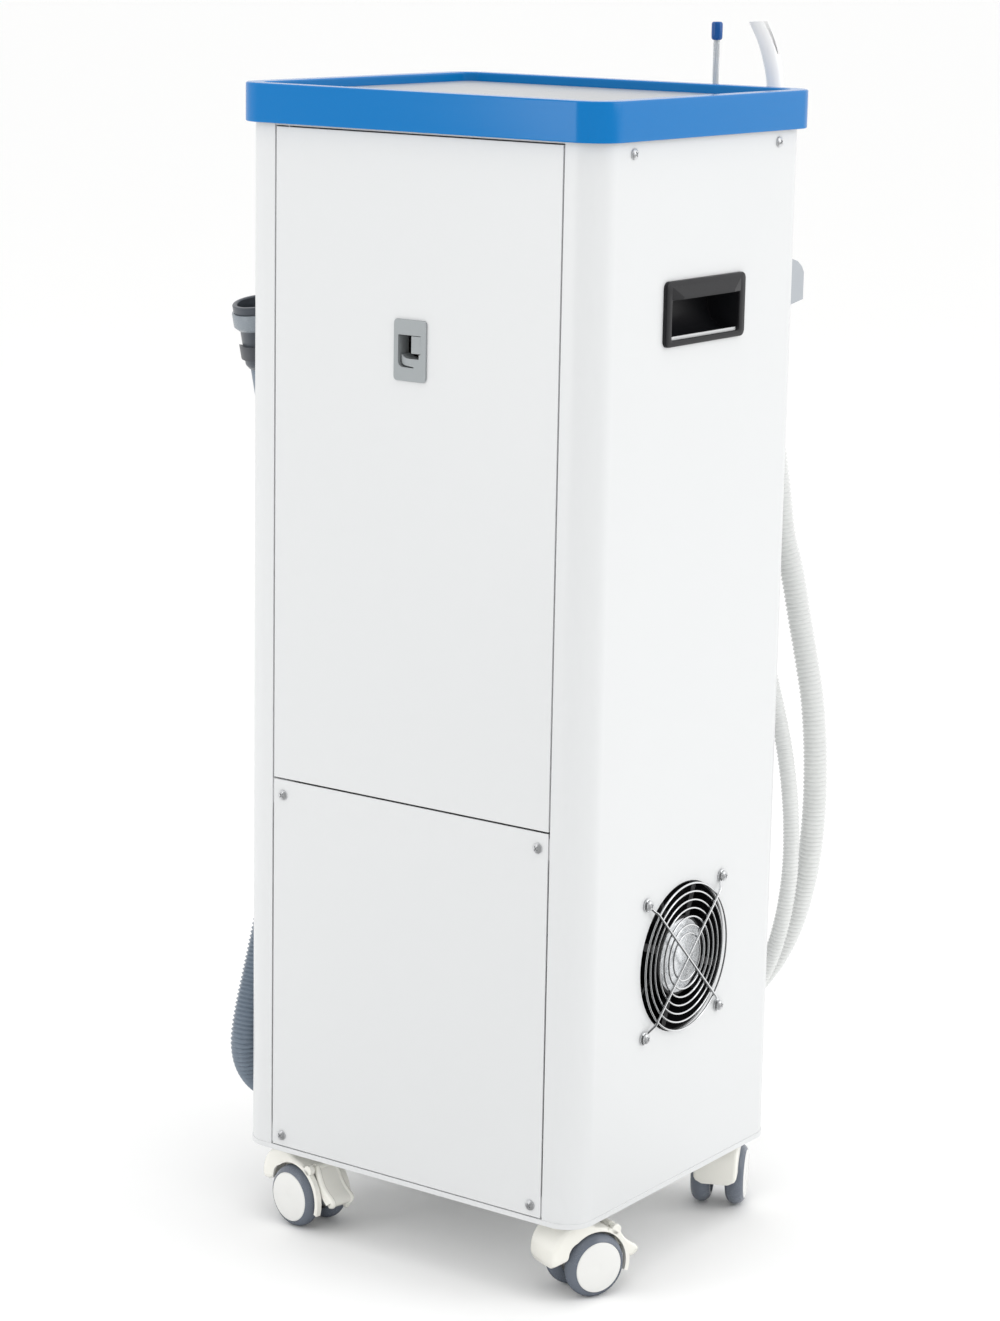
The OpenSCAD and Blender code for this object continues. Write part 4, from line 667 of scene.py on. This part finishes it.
# Fan
# A 120 mm axial fan sits behind the left wall: black glass-filled frame and rotor, a silver label on the
# motor, and a chrome wire guard whose bars end in eyes under the four screws.
black = finish("black plastic", (0.009, 0.009, 0.010), 0.45, mottle=0.15, depth=0.02, Specular_IOR_Level=0.3)
trimmed("fan_frame", "fan_housing", black, 0.4)
trimmed("fan_rotor", "fan_blades", black, 0.3)
chrome = finish(
    "chrome wire", (0.78, 0.79, 0.80), 0.09, mottle=0.05, patches=200, grain=900, depth=0.001, Metallic=1.0)
fan_centre = np.array([cabinet_low.x, *box_middle(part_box("fan_frame"))[1:]])
wall_way = [-1.0, 0, 0]


def rod(line, radius, sides, closed=False):
    """A round rod along a line of points: rings of one radius, with smaller ones at each end that round
    it off, or joined end to end for a closed ring."""
    if closed:
        ways = np.roll(line, -1, axis=0) - np.roll(line, 1, axis=0)
        ways /= np.linalg.norm(ways, axis=1, keepdims=True)
        return rings_round(line, ways, np.full(len(line), radius), wall_way, sides)
    s = travelled(line)
    ends = np.array([0, 0.0, 0.13, 0.5, 1]) * radius
    taper = np.array([0, 0.5, 0.87, 1, 1]) * radius
    runs = np.concatenate([ends, s[(s > radius) & (s < s[-1] - radius)], s[-1] - ends[::-1]])
    radii = np.concatenate([taper, np.full(len(runs) - 10, radius), taper[::-1]])
    centres, ways = stations(line, runs)
    return rings_round(centres, ways, radii, wall_way, sides)


def on_fan(points):
    """Points given in millimetres as (right across the fan, up, out of the wall) in the frame's metres."""
    return fan_centre + np.array(points, float)[:, [2, 0, 1]] * [-mm, -mm, mm]


def round_line(radius, height, count, middle=(0, 0)):
    """Points of a circle at a height off the wall, about the fan's axis or about a point beside it."""
    angle = 2 * np.pi * np.arange(count) / count
    return on_fan(np.column_stack([radius * np.cos(angle) + middle[0], radius * np.sin(angle) + middle[1],
                                   np.full(count, height)]))


ring_wire, ring_height, first_ring, ring_pitch, rings = 0.75 * mm, 3.8, 18.5, 6.5, 7
bar_wire, eye_radius, eye_height, screw_pitch = 1.05 * mm, 4.2, 1.3, 105
guard_sheets = [rod(round_line(first_ring + ring_pitch * k, ring_height, 96), ring_wire, 10, closed=True)
                for k in range(rings)]
bar_side = [(0, 5.4), (58, 5.4), (61, 5.2), (64, 4.2), (67, 2.8), (69.4, 1.8), (70.2, 1.5)]
for lean in (1, -1):
    way = np.array([lean, 1]) / math.sqrt(2)
    half = [np.append(way * reach, height) for reach, height in bar_side]
    bar = on_fan([*[p * [-1, -1, 1] for p in half[:0:-1]], *half])
    guard_sheets.append(rod(smooth_run(bar, 6), bar_wire, 12))
    for sign in (-1, 1):
        eye_line = round_line(eye_radius, eye_height, 40, sign * screw_pitch / math.sqrt(2) * way)
        guard_sheets.append(rod(eye_line, bar_wire, 12, closed=True))
solid("wire_guard", guard_sheets, chrome, ["finger_guard"], sharp=60)

label_radius, label_thick, label_edge = 29, 0.25, 0.15
label_outline = [(0, 0), (0, label_radius), (label_edge, label_radius),
                 (label_thick, label_radius - label_edge), (label_thick, 0)]
label_silver = finish("label silver", (0.80, 0.82, 0.84), 0.26, slot="chrome_wire", mottle=0.7, patches=190,
                      grain=330, depth=0.16, Metallic=0.7)
hub_face = fan_centre + np.array([2.5 * mm, 0, 0])
solid("motor_label", [turned(label_outline, hub_face, wall_way, 72)], label_silver)

# Side handles and latch
# Two black recessed grips are clipped into the side walls; a pocket's floor lies a little below its
# opening, whose lip hides the near edge. The silver latch is set in the door: a bezel with a finger pocket
# and a flush lever that turns on an upright pin and draws the bar.
grip_black = finish("grip black", (0.010, 0.010, 0.012), 0.38, slot="black_plastic", mottle=0.1, patches=50,
                    grain=900, depth=0.03, Specular_IOR_Level=0.3)
grip_half, grip_up, grip_lip, grip_corner = 54.5, 24, 3, 5
grip_y, grip_z = 0.7, 744.5
open_half, open_low, open_high, open_corner = 46, -19, 10, 1.6
cup_wall, floor_drop, floor_bend, floor_straight = 2, 1.2, 22, 4


def box_loop(half, low, high, corner, steps=6):
    """A rectangle with round corners as (along, up) points, from its right side round to the left."""
    corner = min(corner, half, (high - low) / 2)
    centres = [(half - corner, high - corner), (corner - half, high - corner), (corner - half, low + corner),
               (half - corner, low + corner)]
    return np.vstack([arc(centre, corner, 90 * k, 90 * k + 90, steps) for k, centre in enumerate(centres)])


def lofted(loops):
    """A grid through loops that stand at heights out of the wall; a loop of size nothing closes an end."""
    return np.stack([np.insert(loop, 0, out, axis=1) for out, loop in loops])


def pocket_floor(out):
    """Height of a pocket's floor, without its drop, at a depth: straight at first, then a quarter circle
    whose height is its radius less the root of (radius squared less depth squared)."""
    depth = min(max(-floor_straight - out, 0), floor_bend)
    return open_low + floor_bend - math.sqrt(floor_bend**2 - depth**2)


flange = [(out, box_loop(grip_half - draw, -grip_up + draw, grip_up - draw, grip_corner - draw))
          for out, draw in ((0, 0), (1.9, 0), (2.6, 0.3), (grip_lip, 1.0))]
mouth = [(out, box_loop(open_half + grow, open_low - grow, open_high + grow, open_corner + grow))
         for out, grow in ((grip_lip, 1.4), (2.7, 0.5), (2.0, 0))]
pocket = [(out, box_loop(open_half, pocket_floor(out) - floor_drop, open_high, open_corner))
          for out in (1, -4, -9, -14, -18, -21, -23.5, -25.2, -26)]
pocket_end = [(out, box_loop(0.01, 6.4, 6.42, 0.01)) for out in (-26, -28)]
outside = [(out, box_loop(open_half + cup_wall, pocket_floor(out + cup_wall) - cup_wall,
                          open_high + cup_wall, 2.6)) for out in (-28, -26, -23, -18, -12, -6, 0)]
cup = lofted([*flange, *mouth, *pocket, *pocket_end, *outside])
ridge_half, ridge_low = 47, 10.4
ridge = [(0.5, box_loop(0.01, 14.9, 14.92, 0.01, 3)), (0.5, box_loop(ridge_half, ridge_low, 20, 0.5, 3)),
         (3.05, box_loop(ridge_half, ridge_low, 20, 0.5, 3)), (5.4, box_loop(35, ridge_low, 12.2, 0.5, 3)),
         (5.4, box_loop(0.01, 11.3, 11.32, 0.01, 3))]
hood_ridge = lofted(ridge)
cups, ridges = [], []
for side in (-1, 1):
    place = cabinet_mm([side * half_cabinet, -side * grip_y, grip_z])
    outwards = np.array([side, -side, 1]) * mm
    cups.append(place + cup * outwards)
    ridges.append(place + hood_ridge * outwards)
solid("grip_cups", cups, grip_black, ["side_handles"])
solid("grip_hoods", ridges, grip_black, sharp=6, rounding=0.3)

silver = finish(
    "silver plastic", (0.36, 0.385, 0.395), 0.36, mottle=0.05, grain=2200, depth=0.006, Metallic=0.25)


def slab(outline, low, high, holes=()):
    """A flat piece with holes: its outlines filled with triangles at two heights, and a wall between them
    round each outline. Its points are (height, along, up)."""
    loops = [np.array(loop, float) for loop in (outline, *holes)]
    flat = np.vstack(loops)
    count = len(flat)
    heights = [np.broadcast_to(value, count) for value in (low, high)]
    points = np.vstack([np.column_stack([height, flat]) for height in heights])
    fill = tessellate_polygon([[Vector((*p, 0)) for p in loop] for loop in loops])
    faces = [list(face) for face in fill]
    faces += [[corner + count for corner in face][::-1] for face in fill]
    start = 0
    for loop in loops:
        ring = np.arange(len(loop))
        near, far = start + ring, start + np.roll(ring, -1)
        faces += np.stack([near, far, far + count, near + count], axis=-1).tolist()
        start += len(loop)
    return points, faces


latch_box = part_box("latch_bezel")
latch_x, _, latch_z = box_middle(latch_box)
plate_thick, body_deep, lip_lean = 1.6, 12, 12
plate_half, body_half = (14.7, 22.7), (13.2, 19.7)
window = [(-9.7, 11.2), (10.6, 11.2), *arc((6.2, -8.2), 4.4, 0, -90, 8), (-3.6, -12.6), (-3.6, -11.9),
          (-2, -11.85), (-2, -6), (-8.2, -5.9), (-8.2, -2.4), (-9.7, -2.4)]
lip = [(-2.2, -6), (1.5, -6.1), (4, -5.9), (6.4, -5.1), (9.2, -3.4), (9.2, -8), (8.7, -9.6), (7.4, -10.8),
       (5, -11.4), (-2.2, -11.85)]
lip_face = plate_thick - math.tan(math.radians(lip_lean)) * (np.array(lip)[:, 0] - lip[0][0])
latch_slabs = [slab(box_loop(plate_half[0], -plate_half[1], plate_half[1], 3), 0, plate_thick, [window]),
               slab(box_loop(body_half[0], -body_half[1], body_half[1], 1), -body_deep, 0.1, [window]),
               slab(lip, -body_deep, lip_face)]
latch_face = np.array([latch_x, latch_box[1].y - plate_thick * mm, latch_z])
solid("latch_plate", [(latch_face + points[:, [1, 0, 2]] * mm, faces) for points, faces in latch_slabs],
      silver, ["latch_bezel"], "door", rounding=0.25)
lever = joint_of["latch_lever_turn"]
lever_pin = np.array([*lever["pos_m"][:2], latch_z])
paddle = [(-1.3, 0), (8.3, 0.2), (8.3, 3.1), (-0.1, 3.1), (-1.3, 1.9)]
arm_reach = (lever_pin[1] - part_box("latch_lever")[0].y) / mm
arm = [(-1, -arm_reach), (1, -arm_reach), (1, 0.5), (-1, 0.5)]
sleeve, pin = (arc((0, 0), radius, 0, 340, 18) for radius in (1.6, 1.0))
paddle_low, paddle_high = -2, 10.8
lever_slabs = [slab(paddle, paddle_low, paddle_high), slab(arm, 0, 6), slab(sleeve, paddle_low, paddle_high),
               slab(pin, -5.5, 14)]
solid("latch_paddle", [(lever_pin + points[:, [1, 2, 0]] * mm, faces) for points, faces in lever_slabs],
      silver, ["latch_lever"], "latch_lever", rounding=0.25)

# Screws and pins
# Pan-head screws with a cross recess hold the panel, the tray's lugs, the fan and the holder. Their zinc
# plate is brighter than that of the hinge pins and the latch bar.
bright_zinc = finish("bright zinc", (0.66, 0.67, 0.68), 0.34, slot="zinc_steel", mottle=0.08, patches=120,
                     grain=1200, depth=0.003, Metallic=0.7)
trimmed("case_screws", "pan_screws", bright_zinc, 0.12, segments=2)
trimmed("hinge_pins", "door_pins", zinc, 0.3)
trimmed("latch_bar", "latch_slide_bar", zinc, 0.4)

# Handpieces in their holder
# The holder is moulded grey plastic, screwed to the front wall, with a slot for each handpiece. The big one
# ends in a white flared tube with a slanted mouth, the small one in a clear tube with a blue tip.
light_grey = finish(
    "light grey plastic", (0.40, 0.425, 0.455), 0.36, slot="light_plastic", patches=30, depth=0.008)
trimmed("handpiece_holder", "holder", light_grey, 1.2)
trimmed("hve_handpiece", "big_handpiece", light_grey, 0.5)
trimmed("se_handpiece", "small_handpiece", light_grey, 0.5)
gloss_white = finish("gloss white", (0.82, 0.82, 0.82), 0.24, slot="white_plastic", mottle=0.02, depth=0.003)
trimmed("hve_slider", "big_valve_slide", gloss_white, 0.25)
trimmed("se_slider", "small_valve_slide", gloss_white, 0.25)

stem_x = box_middle(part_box("hve_handpiece"))[0]
piece_y = cabinet_axis.y - 170 * mm
tube_side = [(0, 797, 0), (0, 840, 0), (-0.3, 870, 0), (-0.9, 888, 0.1), (-1.2, 899, 0.1), (-0.2, 908, 0.2),
             (1.9, 917, 0.4), (4.9, 927.5, 0.7), (8.8, 937.5, 1.0), (13.0, 945.5, 1.3), (17.2, 952.5, 1.4)]
knot_steps, cut_knots, play = 8, 4, 0.05
tube_radius, tube_bore = 6.5 - play, 5.1
tube_line = smooth_run(np.array([(stem_x + lean * mm, piece_y, height * mm)
                                 for lean, height, _ in tube_side]), knot_steps)
tube_run = travelled(tube_line)
flare = smooth_run(np.array([(grow, 0, 0) for *_, grow in tube_side]), knot_steps)[:, 0] * mm
outer_rings, bore_rings = (rings_round(*stations(tube_line, tube_run), radius * mm + flare, [0, 1, 0], 48)
                           for radius in (tube_radius, tube_bore))
tail_rows = knot_steps * cut_knots + 1


def drawn_to_plane(rings, point, normal):
    """Each line along a tube is cut short near a plane: its last rows draw together to the share of their
    run at which a straight line between their ends meets it. A line that ends before it stays whole."""
    side = (rings - np.array(point)) @ np.array(normal)
    begin, stop = side[-tail_rows], side[-1]
    share = np.clip(-begin / (stop - begin), 0, 1)
    rows = len(rings) - tail_rows + np.arange(tail_rows)[:, None] * share[None, :]
    low = np.minimum(np.floor(rows).astype(int), len(rings) - 2)
    part = (rows - low)[..., None]
    column = np.arange(rings.shape[1])[None, :]
    tail = rings[low, column] * (1 - part) + rings[low + 1, column] * part
    return np.concatenate([rings[:-tail_rows], tail])


level_cut, mouth_lean, mouth_height, mouth_normal = 946.3, 3.8, 935.1, (-0.876, -0.248, 0.42)
for point, normal in (((0, 0, level_cut * mm), (0, 0, 1)),
                      ((stem_x + mouth_lean * mm, piece_y, mouth_height * mm), mouth_normal)):
    outer_rings = drawn_to_plane(outer_rings, point, normal)
    bore_rings = drawn_to_plane(bore_rings, point, normal)
solid("suction_tube", [np.concatenate([outer_rings, bore_rings[::-1]])], gloss_white, ["hve_cannula"])

clear = finish("clear vinyl", (0.84, 0.86, 0.87), 0.16, slot="white_plastic", mottle=0.02, grain=900,
               depth=0.001, Transmission_Weight=0.55, IOR=1.45)
ejector_foot = (box_middle(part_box("se_handpiece"))[0], piece_y, 0)
upright = (0, 0, 1)
ejector_outline = [(795, 1.7), (795, 2.4), (795.3, 2.5), (935, 2.5), (935, 1.7)]
solid("clear_tube", [turned(ejector_outline, ejector_foot, upright, 40)], clear, ["ejector_tube"])
tip_blue = finish("tip blue", (0.008, 0.085, 0.30), 0.20, slot="blue_tip", patches=200, depth=0.003)
tip_outline = [(932.4, 2.55), (932.4, 3.2), (932.8, 3.7), (933.8, 4.3), (935.6, 4.4), (944.6, 4.4),
               (945.7, 4.1), (946.4, 3.2), (946.4, 1.7), (935.1, 1.7), (935.1, 2.55)]
solid("blue_tip", [turned(tip_outline, ejector_foot, upright, 40)], tip_blue, ["ejector_tip"])

# Ports and clip on the walls
# Moulded elbows take the hoses through the sheet, and a sprung clip of dark grey plastic parks the
# drain connector.
trimmed("hose_ports", "hose_elbows", light_grey, 0.5)
clip_grey = finish("clip grey", (0.07, 0.075, 0.085), 0.36, slot="dark_grey", mottle=0.08, patches=40)
trimmed("hose_clip", "spring_clip", clip_grey, 0.4)

# Switch and mains inlet
# A snap-in rocker switch on the front wall and a three-pin appliance inlet low on the right wall, both in
# black plastic; the rocker is translucent green.
trimmed("switch_housing", "switch_frame", black, 0.4)
rocker_green = finish("rocker green", (0.015, 0.25, 0.07), 0.20, slot="green_rocker", patches=200,
                      depth=0.003, Transmission_Weight=0.2)
trimmed("rocker", "switch_rocker", rocker_green, 0.5)
trimmed("mains_inlet", "appliance_inlet", black, 0.4)

# Inside the cabinet
# Behind the door a frosted waste bottle stands on the shelf under a ribbed cap; below it the cast pump
# stands on rubber feet. Soft tubes join them, and a sheet box holds the relay.
shelf_grey = finish("shelf grey", (0.36, 0.38, 0.40), 0.38, slot="grey_steel", mottle=0.05, patches=12,
                    grain=900, depth=0.006)
trimmed("mid_shelf", "shelf", shelf_grey, 0.4)
trimmed("control_box", "relay_box", shelf_grey, 0.4)
cast_metal = finish("cast metal", (0.40, 0.41, 0.42), 0.42, slot="pump_metal", mottle=0.12, patches=70,
                    grain=700, depth=0.03, Metallic=0.9)
trimmed("vacuum_pump", "pump", cast_metal, 0.5, segments=2)
foot_rubber = finish(
    "foot rubber", (0.02, 0.02, 0.02), 0.55, slot="mount_rubber", mottle=0.2, grain=900, depth=0.02)
trimmed("pump_mounts", "pump_feet", foot_rubber, 0.5)
frosted = finish("frosted bottle", (0.80, 0.85, 0.87), 0.34, slot="bottle_clear", patches=20, grain=900,
                 Transmission_Weight=0.75, IOR=1.4)
trimmed("waste_bottle", "bottle", frosted, 0.5, segments=2)
trimmed("bottle_cap", "cap", light_grey, 0.5)

silicone = finish("silicone", (0.70, 0.71, 0.70), 0.42, mottle=0.06)
cap_route = [[112, -136, 620], [112, -120, 620], [112, -112, 620], [98, -84, 634], [72, -56, 650],
             [48, -38, 654], [27, -31, 648], [20, -30, 632], [20, -30, 624], [20, -30, 606]]
small_cap_route = [[59, -136, 632], [59, -124, 632], [59, -116, 632], [44, -94, 640], [20, -76, 650],
                   [-6, -63, 650], [-17, -60.5, 642], [-20, -60, 628], [-20, -60, 620], [-20, -60, 606]]
pump_route = [[-44, -20, 606], [-44, -20, 623], [-44, -20, 630], [-54, -14, 650], [-76, -4, 660],
              [-98, 6, 646], [-110, 14, 612], [-112, 20, 540], [-112, 24, 440], [-112, 26, 365],
              [-112, 30, 336], [-107, 42, 306], [-95, 54, 276], [-77, 60, 250], [-60, 55, 236],
              [-50, 46, 233], [-48, 36, 232], [-48, 30, 232], [-48, 14, 232]]
tube_sheets = []
for route, outer, bore, across in ((cap_route, 16, 11, [1, 0.5, 0]),
                                   (small_cap_route, 11, 7, [1, 0.5, 0]), (pump_route, 16, 11, [1, 1, 0])):
    line = smooth_run(cabinet_mm(route), 12)
    run = travelled(line)
    centres, ways = stations(line, np.concatenate([run, run[::-1]]))
    radii = np.repeat([outer / 2 - 0.1, bore / 2], len(run)) * mm
    tube_sheets.append(rings_round(centres, ways, radii, across, 24))
solid("soft_tubes", tube_sheets, silicone, ["inner_tubes"], sharp=50)
